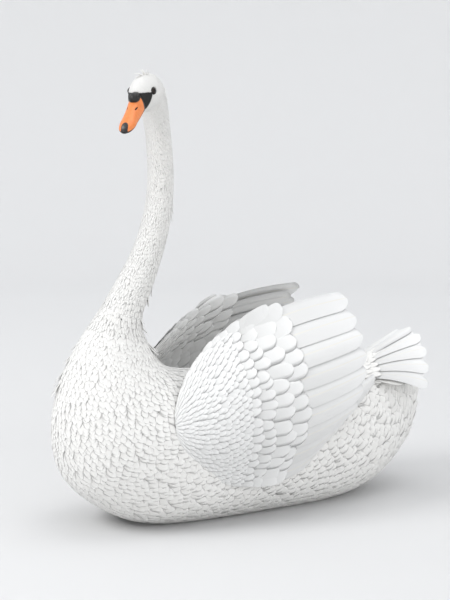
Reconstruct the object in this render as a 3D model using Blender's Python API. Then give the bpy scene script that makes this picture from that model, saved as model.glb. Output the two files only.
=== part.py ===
"""Mute swan, life size, resting on its belly with the feet tucked under, the neck
in an upright S, the head turned to its left and both wings arched over the back.

Metres, +Z up. The bird faces -Y and its left side is at +X. The origin is on the
floor, on the bird's midline, within the flat that the belly rests on.
"""

import math

import bmesh
import bpy
import numpy as np
from mathutils import Matrix, Vector

# ---------------------------------------------------------------- driving sizes
GAP = 0.0003                    # clearance between neighbouring pieces
PART_GAP = 0.0004               # thickness of the cuts that part the body

HEAD_CENTRE = (-0.165, 0.874)   # (y, z) of the skull's middle, before the head turns
HEAD_PITCH = math.radians(20)   # how far the bill dips below level
HEAD_YAW = math.radians(42)     # how far the head turns to the bird's left
YAW_AXIS_Y = -0.088             # the upright line that the upper neck twists about

# Head sections, from the bill's base back to the nape, in the skull's own frame:
# (forward, up) of the crown line, (forward, up) of the throat line, half width.
HEAD_SECTIONS = (
    ((0.050, 0.0170), (0.050, -0.0210), 0.0165),
    ((0.039, 0.0275), (0.038, -0.0265), 0.0222),
    ((0.023, 0.0338), (0.025, -0.0305), 0.0272),
    ((0.004, 0.0362), (0.010, -0.0328), 0.0302),
    ((-0.018, 0.0340), (-0.000, -0.0345), 0.0308),
    ((-0.038, 0.0240), (-0.006, -0.0382), 0.0294),
    ((-0.052, 0.0050), (-0.0084, -0.0419), 0.0280),
)

# Neck sections: (y, z) of the middle, half depth, half width.
NECK_SECTIONS = (
    ((-0.114, 0.8455), 0.0300, 0.0269),
    ((-0.097, 0.806), 0.0268, 0.0256),
    ((-0.088, 0.755), 0.0266, 0.0256),
    ((-0.086, 0.698), 0.0270, 0.0261),
    ((-0.092, 0.641), 0.0281, 0.0272),
    ((-0.106, 0.584), 0.0301, 0.0290),
    ((-0.128, 0.528), 0.0332, 0.0316),
    ((-0.155, 0.475), 0.0382, 0.0362),
    ((-0.180, 0.426), 0.0458, 0.0432),
)

# Trunk sections: (y, z) of the back line, (y, z) of the belly line, half width.
# The belly line dips under the floor, where the trunk is flattened onto it.
TRUNK_SECTIONS = (
    ((-0.120, 0.366), (-0.263, 0.388), 0.0590),
    ((-0.103, 0.337), (-0.299, 0.320), 0.0810),
    ((-0.080, 0.317), (-0.320, 0.242), 0.1060),
    ((-0.048, 0.307), (-0.319, 0.160), 0.1285),
    ((-0.010, 0.302), (-0.287, 0.083), 0.1455),
    ((0.040, 0.301), (-0.210, 0.022), 0.1560),
    ((0.100, 0.302), (-0.090, -0.009), 0.1600),
    ((0.160, 0.300), (0.140, -0.013), 0.1580),
    ((0.220, 0.294), (0.285, -0.010), 0.1515),
    ((0.275, 0.287), (0.378, 0.008), 0.1395),
    ((0.320, 0.282), (0.448, 0.044), 0.1240),
    ((0.362, 0.281), (0.499, 0.093), 0.1065),
    ((0.400, 0.286), (0.531, 0.150), 0.0870),
    ((0.434, 0.295), (0.547, 0.209), 0.0660),
    ((0.460, 0.305), (0.548, 0.263), 0.0440),
    ((0.474, 0.311), (0.548, 0.286), 0.0280),
)
WIDEST_DROP = 0.06              # how far below mid depth the trunk and cheeks are widest
BELLY_FULLNESS = 0.84           # under 1 makes the underside boxier than an ellipse

# Left wing, from the wrist back to the feather tips: (y, z) of the lower edge,
# (y, z) of the upper edge, and x at the lower edge, the thirds and the upper edge.
WING_SECTIONS = (
    ((-0.116, 0.118), (-0.104, 0.318), (0.130, 0.141, 0.118, 0.074)),
    ((-0.020, 0.095), (-0.010, 0.376), (0.157, 0.185, 0.163, 0.088)),
    ((0.070, 0.085), (0.088, 0.420), (0.163, 0.204, 0.181, 0.098)),
    ((0.150, 0.098), (0.195, 0.446), (0.157, 0.203, 0.180, 0.096)),
    ((0.224, 0.138), (0.305, 0.456), (0.134, 0.186, 0.160, 0.084)),
)
WING_FRONT_BULGE = 0.016        # how far the wrist stands forward of the wing's ends
WING_REAR_BULGE = 0.036         # the same for the feather tips behind
WING_ROUNDING = 0.30            # share of its length in which the wrist rounds off
WING_THICKNESS = 0.020
ARM_BULK = 0.022                # extra depth of flesh inside the wing, low in front
WING_TIP_THICKNESS = 0.0024
COVERT_END = 0.60               # share of the wing's length that the coverts take
FLIGHT_TIPS = 9                 # feather tips along the wing's rear edge
FLIGHT_NOTCH = 0.055            # depth of the notches between them, as that share

# The left wing's folded primaries, from under the wing back to the tips:
# (x, y, z) of the blade's middle, half height, thickness.
PRIMARY_SECTIONS = (
    ((0.158, 0.130, 0.165), 0.026, 0.0080),
    ((0.150, 0.220, 0.190), 0.029, 0.0070),
    ((0.122, 0.305, 0.222), 0.027, 0.0055),
    ((0.085, 0.378, 0.252), 0.022, 0.0040),
    ((0.055, 0.430, 0.272), 0.015, 0.0026),
)

TAIL_ROOT = (0.345, 0.250)      # (y, z) where the tail feathers spring from
TAIL_RISE = math.radians(24)    # how far the tail is cocked above level
TAIL_LENGTH = 0.222
TAIL_SPREAD = math.radians(38)  # each side of the middle feather
TAIL_DROOP = 4.7                # how the fan's sides fall away, per metre
TAIL_TIPS = 9
TAIL_NOTCH = 0.07               # depth of the notches, as a share of the length
TAIL_THICKNESS = (0.014, 0.0024)

# Bill sections: forward, culmen, tomium, lowest point (up), half width.
BILL_SECTIONS = (
    (0.0503, 0.0165, -0.0125, -0.0225, 0.0160),
    (0.0600, 0.0125, -0.0148, -0.0248, 0.0160),
    (0.0720, 0.0058, -0.0180, -0.0268, 0.0155),
    (0.0860, -0.0010, -0.0212, -0.0290, 0.0152),
    (0.1000, -0.0072, -0.0240, -0.0303, 0.0156),
    (0.1120, -0.0118, -0.0262, -0.0312, 0.0160),
    (0.1220, -0.0163, -0.0280, -0.0318, 0.0142),
    (0.1290, -0.0218, -0.0293, -0.0322, 0.0100),
    (0.1325, -0.0272, -0.0300, -0.0322, 0.0045),
)
KNOB_CENTRE = (0.0575, 0.0115)  # (forward, up) in the skull's frame
KNOB_RADII = (0.0145, 0.0105, 0.0105)   # forward, sideways, up

EYE_RADIUS = 0.0072
EYE_STATION = 2.25              # along the head's sections
EYE_AROUND = math.radians(68)   # round from the crown
EYE_PROUD = 0.0028              # how far the eye stands out of the face

# The crown's tuft, three lobes that stand out of the head: (forward, side, up) of the
# middle in the skull's frame, half length, and lean towards the bird's right.
CREST_LOBES = (
    ((0.001, -0.0095, 0.0378), 0.0095, 75),
    ((-0.001, -0.0030, 0.0405), 0.0085, 32),
    ((-0.006, 0.0062, 0.0395), 0.0078, -12),
)
CREST_HALF_BREADTH = 0.0045
CREST_HALF_THICKNESS = 0.0030

# The left shank, lying on the ground under the belly, from the heel forward:
# (x, y, z) of its middle, and its radius.
SHANK_SECTIONS = (
    ((0.0395, 0.1790, 0.0100), 0.0040),
    ((0.0400, 0.1740, 0.0110), 0.0082),
    ((0.0405, 0.1640, 0.0112), 0.0104),
    ((0.0415, 0.1480, 0.0103), 0.0094),
    ((0.0435, 0.1200, 0.0095), 0.0082),
    ((0.0455, 0.0880, 0.0092), 0.0080),
    ((0.0470, 0.0570, 0.0092), 0.0084),
)
TOE_ROOT = (0.0472, 0.0562)     # (x, y) where the toes part, on the ground
TOE_ROOT_HALF = 0.0070          # half the foot's width there
TOES = (                        # angle out from straight ahead, length
    (-14, 0.094),
    (2, 0.110),
    (17, 0.096),
)
TOE_RADIUS = 0.0066
WEB_HEIGHT = 0.0034


def spline(points):
    """A natural cubic through evenly numbered points. Returns f(t), t from 0 to n - 1."""
    points = np.asarray(points, float)
    n = len(points)
    system = np.eye(n)
    right = np.zeros_like(points)
    for i in range(1, n - 1):
        system[i, i - 1 : i + 2] = (1, 4, 1)
        right[i] = 6 * (points[i + 1] - 2 * points[i] + points[i - 1])
    bend = np.linalg.solve(system, right)

    def at(t):
        t = np.asarray(t, float)
        low = np.clip(np.floor(t).astype(int), 0, n - 2)
        b = (t - low)[..., None]
        a = 1 - b
        return (
            a * points[low]
            + b * points[low + 1]
            + (a**3 - a) / 6 * bend[low]
            + (b**3 - b) / 6 * bend[low + 1]
        )

    return at


# ---------------------------------------------------------------- the body's surface
def skull_point(forward, up):
    """(y, z) in the body's frame of a point given in the skull's frame."""
    c, s = math.cos(HEAD_PITCH), math.sin(HEAD_PITCH)
    return (
        HEAD_CENTRE[0] - forward * c - up * s,
        HEAD_CENTRE[1] - forward * s + up * c,
    )


def body_stations():
    """Rows of back y, back z, belly y, belly z and half width, from the face to the rump."""
    rows = [
        (*skull_point(*crown), *skull_point(*throat), width)
        for crown, throat, width in HEAD_SECTIONS
    ]
    middles = np.array([middle for middle, _, _ in NECK_SECTIONS])
    before = (np.array(rows[-1][:2]) + np.array(rows[-1][2:4])) / 2
    back, belly, _ = TRUNK_SECTIONS[0]
    after = (np.array(back) + np.array(belly)) / 2
    along = np.gradient(np.vstack([before, middles, after]), axis=0)[1:-1]
    along /= np.linalg.norm(along, axis=1)[:, None]
    for (middle, depth, width), (ty, tz) in zip(NECK_SECTIONS, along):
        side = np.array((-tz, ty)) * depth
        rows.append((*(middle + side), *(middle - side), width))
    rows += [(*back, *belly, width) for back, belly, width in TRUNK_SECTIONS]
    return np.array(rows)


STATIONS = body_stations()
BODY = spline(STATIONS)
HEAD_END = len(HEAD_SECTIONS) - 0.2
NECK_MIDDLE = len(HEAD_SECTIONS) + 4.0
NECK_END = len(HEAD_SECTIONS) + len(NECK_SECTIONS) + 0.5
BODY_END = len(STATIONS) - 1.0


def yaw_at(station):
    """The head's full turn in front of the nape, fading out down the upper neck."""
    t = np.clip((station - len(HEAD_SECTIONS) + 1) / 6.5, 0, 1)
    return HEAD_YAW * (1 - t * t * (3 - 2 * t))


def turned(points, station):
    """Turns points about the neck's upright axis, by the yaw at that station."""
    a = yaw_at(station)
    x, y = points[..., 0], points[..., 1] - YAW_AXIS_Y
    out = np.array(points, float)
    out[..., 0] = x * np.cos(a) - y * np.sin(a)
    out[..., 1] = x * np.sin(a) + y * np.cos(a) + YAW_AXIS_Y
    return out


def body_point(station, around):
    """The coat's outer surface. around runs from 0 on the back, through pi/2 on the
    bird's left, to pi on the belly."""
    rows = BODY(station)
    trunk = np.clip((station - NECK_END) / 3, 0, 1)
    low = np.maximum(trunk, np.clip(1 - station / 6, 0, 1))
    share = (1 - np.cos(around)) / 2 + WIDEST_DROP * low * np.sin(around) ** 2
    back, belly, width = rows[..., 0:2], rows[..., 2:4], rows[..., 4]
    middle = back + (belly - back) * share[..., None]
    sine = np.sin(around)
    full = 1 - (1 - BELLY_FULLNESS) * trunk * np.clip(-np.cos(around), 0, 1) ** 0.5
    side = width * np.sign(sine) * np.abs(sine) ** full
    points = np.stack([side, middle[..., 0], middle[..., 1]], -1)
    points = turned(points, station)
    points[..., 2] = np.maximum(points[..., 2], 0)
    return points


# ---------------------------------------------------------------- making solids
def material(name, colour, roughness):
    made = bpy.data.materials.new(name)
    made.use_nodes = True
    shader = made.node_tree.nodes["Principled BSDF"]
    shader.inputs["Base Color"].default_value = (*colour, 1)
    shader.inputs["Roughness"].default_value = roughness
    return made


def finished(name, mesh, finish, collection):
    """Puts a mesh in the scene as one smooth-shaded object."""
    made = bpy.data.objects.new(name, mesh)
    collection.objects.link(made)
    mesh.materials.append(finish)
    mesh.shade_smooth()
    mesh.set_sharp_from_angle(angle=math.radians(40))
    return made


def loft(name, rings, finish, collection):
    """A closed solid through rings of points. Each end is closed by a strip between
    the ring's first half and its second, so the rings have an even count."""
    bm = bmesh.new()
    loops = [[bm.verts.new(p) for p in ring] for ring in np.asarray(rings)]
    for first, second in zip(loops, loops[1:]):
        for i in range(len(first)):
            j = (i + 1) % len(first)
            bm.faces.new((first[i], first[j], second[j], second[i]))
    for loop, turn in ((loops[0], -1), (loops[-1], 1)):
        count = len(loop)
        for i in range(count // 2 - 1):
            corners = (loop[i], loop[i + 1], loop[count - 2 - i], loop[count - 1 - i])
            bm.faces.new(corners[::turn])
    bmesh.ops.remove_doubles(bm, verts=bm.verts, dist=1e-6)
    bmesh.ops.dissolve_degenerate(bm, edges=bm.edges, dist=1e-6)
    bmesh.ops.triangulate(bm, faces=bm.faces)
    bmesh.ops.recalc_face_normals(bm, faces=bm.faces)
    mesh = bpy.data.meshes.new(name)
    bm.to_mesh(mesh)
    bm.free()
    return finished(name, mesh, finish, collection)


def grown_copy(source, by):
    """A cutter: source with every vertex moved out along its normal."""
    mesh = source.data.copy()
    normals = np.array([v.normal for v in mesh.vertices])
    places = np.array([v.co for v in mesh.vertices]) + normals * by
    mesh.vertices.foreach_set("co", places.astype(np.float32).ravel())
    cutter = bpy.data.objects.new(source.name + "_cutter", mesh)
    bpy.data.collections["cutters"].objects.link(cutter)
    cutter.hide_render = True
    cutter.display_type = "WIRE"
    return cutter


def cut(target, others, by=GAP):
    """Takes each of the others, grown by the gap, out of target."""
    for other in others:
        boolean = target.modifiers.new("cut_" + other.name, "BOOLEAN")
        boolean.operation = "DIFFERENCE"
        boolean.solver = "EXACT"
        boolean.object = grown_copy(other, by)


def join(target, others):
    """Makes each of the others one solid with target."""
    for other in others:
        boolean = target.modifiers.new("join_" + other.name, "BOOLEAN")
        boolean.operation = "UNION"
        boolean.solver = "EXACT"
        boolean.object = other
        other.hide_render = True
        other.display_type = "WIRE"


# ---------------------------------------------------------------- trunk, neck and head
def body_length(name, start, end, rings, sides, finish, collection):
    """The length of the body between two stations."""
    around = np.linspace(0, 2 * np.pi, sides, endpoint=False)
    stations = np.linspace(start, end, rings)
    grid = body_point(stations[:, None], around[None, :])
    return loft(name, grid, finish, collection)


def station_after(station):
    """The station whose back line is one thin cut further along."""
    step = np.linalg.norm(BODY(station + 0.01)[:2] - BODY(station)[:2]) / 0.01
    other = np.linalg.norm(BODY(station + 0.01)[2:4] - BODY(station)[2:4]) / 0.01
    return station + PART_GAP / min(step, other)


def make_body(finish, collection):
    lengths = (
        ("head", 0.0, HEAD_END, 14, 24),
        ("neck_upper", station_after(HEAD_END), NECK_MIDDLE, 10, 20),
        ("neck_lower", station_after(NECK_MIDDLE), NECK_END, 11, 24),
        ("trunk", station_after(NECK_END), BODY_END, 24, 30),
    )
    return {
        name: body_length(name, start, end, rings, sides, finish, collection)
        for name, start, end, rings, sides in lengths
    }


# ---------------------------------------------------------------- wings
WING_YZ = spline([(*low, *high) for low, high, _ in WING_SECTIONS])
WING_X = spline([xs for _, _, xs in WING_SECTIONS])


def wing_point(along, across):
    """The wing's middle surface. along runs 0 to 1 from the wrist to the feather
    tips, across from 0 on the lower edge to 1 on the upper edge."""
    along, across = np.broadcast_arrays(along, across)
    nose = np.clip(1 - along / WING_ROUNDING, 0, 1)
    across = 0.5 + (across - 0.5) * (1 - 0.975 * nose**2.1) ** (1 / 2.1)
    t = along * (len(WING_SECTIONS) - 1)
    edges = WING_YZ(t)
    low, high = edges[..., :2], edges[..., 2:]
    y, z = np.moveaxis(low + (high - low) * across[..., None], -1, 0)
    crown = 4 * across * (1 - across)
    y = y - WING_FRONT_BULGE * crown * (1 - along) ** 2 + WING_REAR_BULGE * crown * along**2
    knots = WING_X(t)
    s = across * 3
    low = np.clip(np.floor(s).astype(int), 0, 2)
    index = np.stack([np.clip(low + k, 0, 3) for k in (-1, 0, 1, 2)], -1)
    a, b, c, d = np.moveaxis(np.take_along_axis(knots, index, -1), -1, 0)
    b0 = s - low
    x = b + b0 * (c - a) / 2 + b0**2 * (a - 2.5 * b + 2 * c - d / 2)
    x = x + b0**3 * (1.5 * (b - c) + (d - a) / 2)
    return np.stack([x, y, z], -1)


def wing_normal(along, across):
    """Unit normals of the middle surface, pointing away from the body."""
    e = 1e-3
    down = wing_point(along + e, across) - wing_point(along - e, across)
    over = wing_point(along, across + e) - wing_point(along, across - e)
    normal = np.cross(down, over)
    return normal / np.linalg.norm(normal, axis=-1, keepdims=True)


def flight_end(across):
    """Where the wing ends, as a share of its length: a row of rounded feather tips."""
    phase = across * FLIGHT_TIPS % 1.0
    return 1 - FLIGHT_NOTCH * np.abs(2 * phase - 1) ** 2.5


def wing_rings(side, start, end, rings, points, scalloped):
    """Closed rings round the wing's shell, from one share of its length to another."""
    across = np.linspace(0.0, 1.0, points)
    inside = np.clip(across, 0.015, 0.985)
    made = []
    for part in np.linspace(0, 1, rings) ** (1.0 if scalloped else 1.6):
        stop = flight_end(across) if scalloped else end
        along = start + (stop - start) * part
        middle, normal = wing_point(along, across), wing_normal(along, inside)
        edge = 0.30 + 0.70 * np.sqrt(np.clip(4 * across * (1 - across), 0, 1))
        swell = np.sin(np.pi * (0.15 + 0.85 * np.clip(along / COVERT_END, 0, 1)))
        thick = WING_THICKNESS * (0.55 + 0.45 * swell)
        thin = np.clip((along - COVERT_END) / (1 - COVERT_END), 0, 1)
        thick = thick * (1 - thin) + WING_TIP_THICKNESS * thin
        half = normal * (thick * edge / 2)[:, None]
        bulk = np.clip((0.72 - across) / 0.3, 0, 1) * np.clip((0.6 - along) / 0.25, 0, 1)
        flesh = normal * (ARM_BULK * edge * bulk)[:, None]
        ring = np.vstack([middle + half, (middle - half - flesh)[::-1]])
        made.append(ring * (side, 1, 1))
    return made


def make_primaries(side, finish, collection):
    """The folded primaries: one thin blade with stepped tips along its upper edge."""
    rows = spline([(*middle, half, thick) for middle, half, thick in PRIMARY_SECTIONS])
    last = len(PRIMARY_SECTIONS) - 1
    rings = []
    for share in np.linspace(0, 1, 17):
        x, y, z, half, thick = rows(share * last)
        step = 0.0045 * ((share * 16) % 4) / 4 * (share > 0.5)
        over = np.linspace(-1, 1, 5)
        edge = 0.45 + 0.55 * np.sqrt(1 - over**2)
        up = half * over + step * (over > 0.9)
        lean = 0.35 * half * (1 - over**2)
        middle = np.stack([side * (x + lean * 0.2 - 0.25 * up), y + 0 * up, z + up], -1)
        out = np.stack([side * edge * thick / 2, 0 * up, 0.25 * edge * thick / 2], -1)
        rings.append(np.vstack([middle + out, (middle - out)[::-1]]))
    word = "left" if side > 0 else "right"
    return loft("primaries_" + word, rings, finish, collection)


# ---------------------------------------------------------------- tail
def tail_point(reach, over):
    """The tail's middle surface: reach from 0 at the root to 1 at the middle
    feather's tip, over from -1 on the right edge to 1 on the left."""
    fan = TAIL_SPREAD * over
    flat = 0.030 + TAIL_LENGTH * reach
    x = (flat + 0.02) * np.sin(fan)
    back = (flat + 0.02) * np.cos(fan) - 0.05
    drop = TAIL_DROOP * x**2 * (0.4 + 0.6 * reach)
    y = TAIL_ROOT[0] + back * math.cos(TAIL_RISE) + drop * math.sin(TAIL_RISE)
    z = TAIL_ROOT[1] + back * math.sin(TAIL_RISE) - drop * math.cos(TAIL_RISE)
    return np.stack([x, y, z], -1)


def make_tail(finish, collection):
    over = np.linspace(-1, 1, TAIL_TIPS * 4 + 1)
    phase = (over + 1) / 2 * TAIL_TIPS % 1.0
    tip = 1 - 0.24 * np.abs(over) ** 1.6 - TAIL_NOTCH * np.abs(2 * phase - 1) ** 2.2
    edge = 0.35 + 0.65 * np.sqrt(np.clip(1 - over**2, 0, 1))
    up = np.array((0, -math.sin(TAIL_RISE), math.cos(TAIL_RISE)))
    rings = []
    for share in (0.0, 0.35, 0.7, 1.0):
        middle = tail_point(tip * share, over)
        thick = TAIL_THICKNESS[0] + (TAIL_THICKNESS[1] - TAIL_THICKNESS[0]) * share
        half = (edge * thick / 2)[:, None] * up
        rings.append(np.vstack([middle + half, (middle - half)[::-1]]))
    return loft("tail", rings, finish, collection)


# ---------------------------------------------------------------- bill, knob and eyes
def from_skull(forward, side, up):
    """World points of places given in the skull's frame, with the head turned."""
    forward, side, up = np.broadcast_arrays(forward, side, up)
    y, z = skull_point(forward, up)
    return turned(np.stack([side, y, z], -1), np.zeros(side.shape))


def make_bill(finish, collection):
    upper, lower = [], []
    rows = spline(BILL_SECTIONS)
    for t in np.linspace(0, len(BILL_SECTIONS) - 1, 14):
        forward, culmen, tomium, bottom, width = rows(t)
        a = np.linspace(-np.pi / 2, np.pi / 2, 11)
        side = width * np.sin(a)
        dome = tomium + (culmen - tomium) * np.clip(np.cos(a), 0, 1) ** 0.8
        inside = np.linspace(0.7, -0.7, 3)
        floor = np.full(3, tomium + 0.0004)
        upper.append(
            from_skull(
                forward,
                np.concatenate([side, width * inside]),
                np.concatenate([dome, floor]),
            )
        )
        top = tomium - GAP * 1.5
        narrow = width * 0.90
        keel = top - (top - bottom) * np.clip(np.cos(a), 0, 1) ** 0.7
        lower.append(
            from_skull(
                forward - 0.0012 * (t > 7),
                np.concatenate([narrow * np.sin(a), narrow * inside]),
                np.concatenate([keel, np.full(3, top)]),
            )
        )
    return (
        loft("bill_upper", upper, finish, collection),
        loft("bill_lower", lower, finish, collection),
    )


def ball(name, centre, radii, axes, finish, collection, segments=14):
    """An ellipsoid with its radii along the three given axes."""
    bm = bmesh.new()
    bmesh.ops.create_uvsphere(
        bm, u_segments=segments, v_segments=segments // 2, radius=1
    )
    frame = Matrix(axes).transposed().to_4x4()
    size = Matrix.Diagonal((*radii, 1))
    bm.transform(Matrix.Translation(Vector(centre)) @ frame @ size)
    bmesh.ops.triangulate(bm, faces=bm.faces)
    mesh = bpy.data.meshes.new(name)
    bm.to_mesh(mesh)
    bm.free()
    return finished(name, mesh, finish, collection)


def make_knob(finish, collection):
    centre = from_skull(KNOB_CENTRE[0], 0.0, KNOB_CENTRE[1])
    axes = [
        from_skull(KNOB_CENTRE[0] + f, s, KNOB_CENTRE[1] + u) - centre
        for f, s, u in ((1, 0, 0), (0, 1, 0), (0, 0, 1))
    ]
    return ball("bill_knob", centre, KNOB_RADII, axes, finish, collection)


def make_crest(finish, collection):
    """The lobes of the crown's tuft, to be joined to the head."""
    lobes = []
    for number, (centre, half, lean) in enumerate(CREST_LOBES):
        c, s = math.cos(math.radians(lean)), math.sin(math.radians(lean))
        middle = from_skull(*centre)
        axes = [
            from_skull(centre[0] + f, centre[1] + r, centre[2] + u) - middle
            for f, r, u in ((0, -s, c), (1, 0, 0), (0, c, s))
        ]
        radii = (half, CREST_HALF_BREADTH, CREST_HALF_THICKNESS)
        lobes.append(ball(f"crest_lobe_{number}", middle, radii, axes, finish, collection, 12))
    return lobes


def make_eye(side, finish, collection):
    e = 1e-3
    around = side * EYE_AROUND
    place = body_point(np.float64(EYE_STATION), np.float64(around))
    along = body_point(np.float64(EYE_STATION + e), np.float64(around)) - place
    over = body_point(np.float64(EYE_STATION), np.float64(around + e)) - place
    out = Vector(np.cross(over, along)).normalized()
    centre = Vector(place) - out * (EYE_RADIUS - EYE_PROUD)
    frame = out.to_track_quat("Z", "Y").to_matrix()
    axes = [frame.col[i] for i in range(3)]
    word = "left" if side > 0 else "right"
    return ball("eye_" + word, centre, [EYE_RADIUS] * 3, axes, finish, collection)


# ---------------------------------------------------------------- legs and feet
def make_leg(side, finish, collection):
    """The shank, a tapered round bar lying along the ground."""
    rows = spline([(*place, radius) for place, radius in SHANK_SECTIONS])
    around = np.linspace(0, 2 * np.pi, 10, endpoint=False)
    rings = []
    for t in range(len(SHANK_SECTIONS)):
        x, y, z, radius = rows(t)
        rings.append(
            np.stack(
                [
                    side * (x + radius * np.cos(around)),
                    np.full(10, y),
                    np.maximum(z + radius * np.sin(around), 0),
                ],
                -1,
            )
        )
    word = "left" if side > 0 else "right"
    return loft("leg_" + word, rings, finish, collection)


def make_foot(side, finish, collection):
    """Three webbed toes, flat below: a fan of rays from where the toes part."""
    angles = np.radians([t[0] for t in TOES])
    lengths = np.array([t[1] for t in TOES])
    first, last = angles[0] - 0.10, angles[-1] + 0.10
    fan = np.linspace(first, last, 17)
    reach = np.interp(fan, angles, lengths)
    for k in range(len(TOES)):
        if k < len(TOES) - 1:
            middle = (fan - angles[k]) / (angles[k + 1] - angles[k])
            inside = (middle > 0) & (middle < 1)
            reach = reach - 0.016 * np.where(inside, np.sin(np.pi * middle), 0)
    outside = np.maximum(np.maximum(angles[0] - fan, fan - angles[-1]), 0)
    reach = reach * (1 - (outside / 0.16) ** 2)
    near = np.min(np.abs(fan[:, None] - angles[None, :]), axis=1)
    rings = []
    spread = np.linspace(-1, 1, len(fan)) * TOE_ROOT_HALF
    for share in (0.0, 0.3, 0.65, 0.92, 1.0):
        away = near * reach * share
        radius = TOE_RADIUS * (1 - 0.45 * share)
        top = WEB_HEIGHT + np.sqrt(np.clip(radius**2 - away**2, 0, None))
        if share == 1.0:
            top = top * 0.55
        if share == 0.0:
            top = np.full_like(fan, 0.012)
        x = side * (TOE_ROOT[0] + spread * (1 - share) + reach * share * np.sin(fan))
        y = TOE_ROOT[1] - reach * share * np.cos(fan)
        upper = np.stack([x, y, top], -1)
        lower = np.stack([x, y, 0 * top], -1)
        rings.append(np.vstack([upper, lower[::-1]]))
    word = "left" if side > 0 else "right"
    return loft("foot_" + word, rings, finish, collection)


def make_wing(side, finish, collection):
    word = "left" if side > 0 else "right"
    arm = loft(
        "wing_" + word,
        wing_rings(side, 0.0, COVERT_END, 11, 13, False),
        finish,
        collection,
    )
    points = FLIGHT_TIPS * 4 + 1
    flight = loft(
        "flight_feathers_" + word,
        wing_rings(side, COVERT_END + 0.002, 1.0, 4, points, True),
        finish,
        collection,
    )
    return arm, flight


def main():
    for old in list(bpy.data.objects):
        bpy.data.objects.remove(old)
    swan = bpy.data.collections.new("mute_swan")
    cutters = bpy.data.collections.new("cutters")
    bpy.context.scene.collection.children.link(swan)
    bpy.context.scene.collection.children.link(cutters)

    plumage = material("plumage", (0.90, 0.89, 0.86), 0.8)
    orange = material("bill_horn", (0.86, 0.30, 0.08), 0.4)
    black = material("black_skin", (0.02, 0.02, 0.02), 0.5)
    glassy = material("eye", (0.015, 0.010, 0.008), 0.1)

    body = make_body(plumage, swan)
    join(body["head"], make_crest(plumage, cutters))
    knob = make_knob(black, swan)
    upper, _ = make_bill(orange, swan)
    cut(body["head"], [knob])
    cut(upper, [knob])
    tail = make_tail(plumage, swan)
    cut(tail, [body["trunk"]])
    for side in (1, -1):
        cut(body["head"], [make_eye(side, glassy, swan)])
        arm, flight = make_wing(side, plumage, swan)
        primaries = make_primaries(side, plumage, swan)
        for piece in (arm, flight, primaries):
            cut(piece, [body["trunk"]])
        cut(primaries, [arm, flight, tail])
        leg, foot = make_leg(side, black, swan), make_foot(side, black, swan)
        cut(body["trunk"], [leg, foot], 2 * GAP)


main()
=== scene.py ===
import math

import bmesh
import bpy
import numpy as np
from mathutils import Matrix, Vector


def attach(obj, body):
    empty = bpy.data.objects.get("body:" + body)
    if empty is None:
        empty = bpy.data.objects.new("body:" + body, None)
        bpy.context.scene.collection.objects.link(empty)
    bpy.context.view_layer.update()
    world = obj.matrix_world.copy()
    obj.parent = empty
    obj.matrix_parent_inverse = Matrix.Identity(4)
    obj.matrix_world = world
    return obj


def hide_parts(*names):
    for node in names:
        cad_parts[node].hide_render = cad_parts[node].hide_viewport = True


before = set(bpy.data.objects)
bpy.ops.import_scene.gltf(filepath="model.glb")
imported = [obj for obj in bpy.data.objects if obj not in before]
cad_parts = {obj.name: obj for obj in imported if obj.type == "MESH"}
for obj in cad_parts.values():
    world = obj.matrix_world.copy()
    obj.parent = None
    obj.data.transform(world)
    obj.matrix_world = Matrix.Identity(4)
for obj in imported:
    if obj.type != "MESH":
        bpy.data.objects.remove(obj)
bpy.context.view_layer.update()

scene = bpy.context.scene
print("frame loaded")

# The swan faces -Y, its left side is at +X, and it rests on z = 0.

# The form that skin and plumage share

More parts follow.
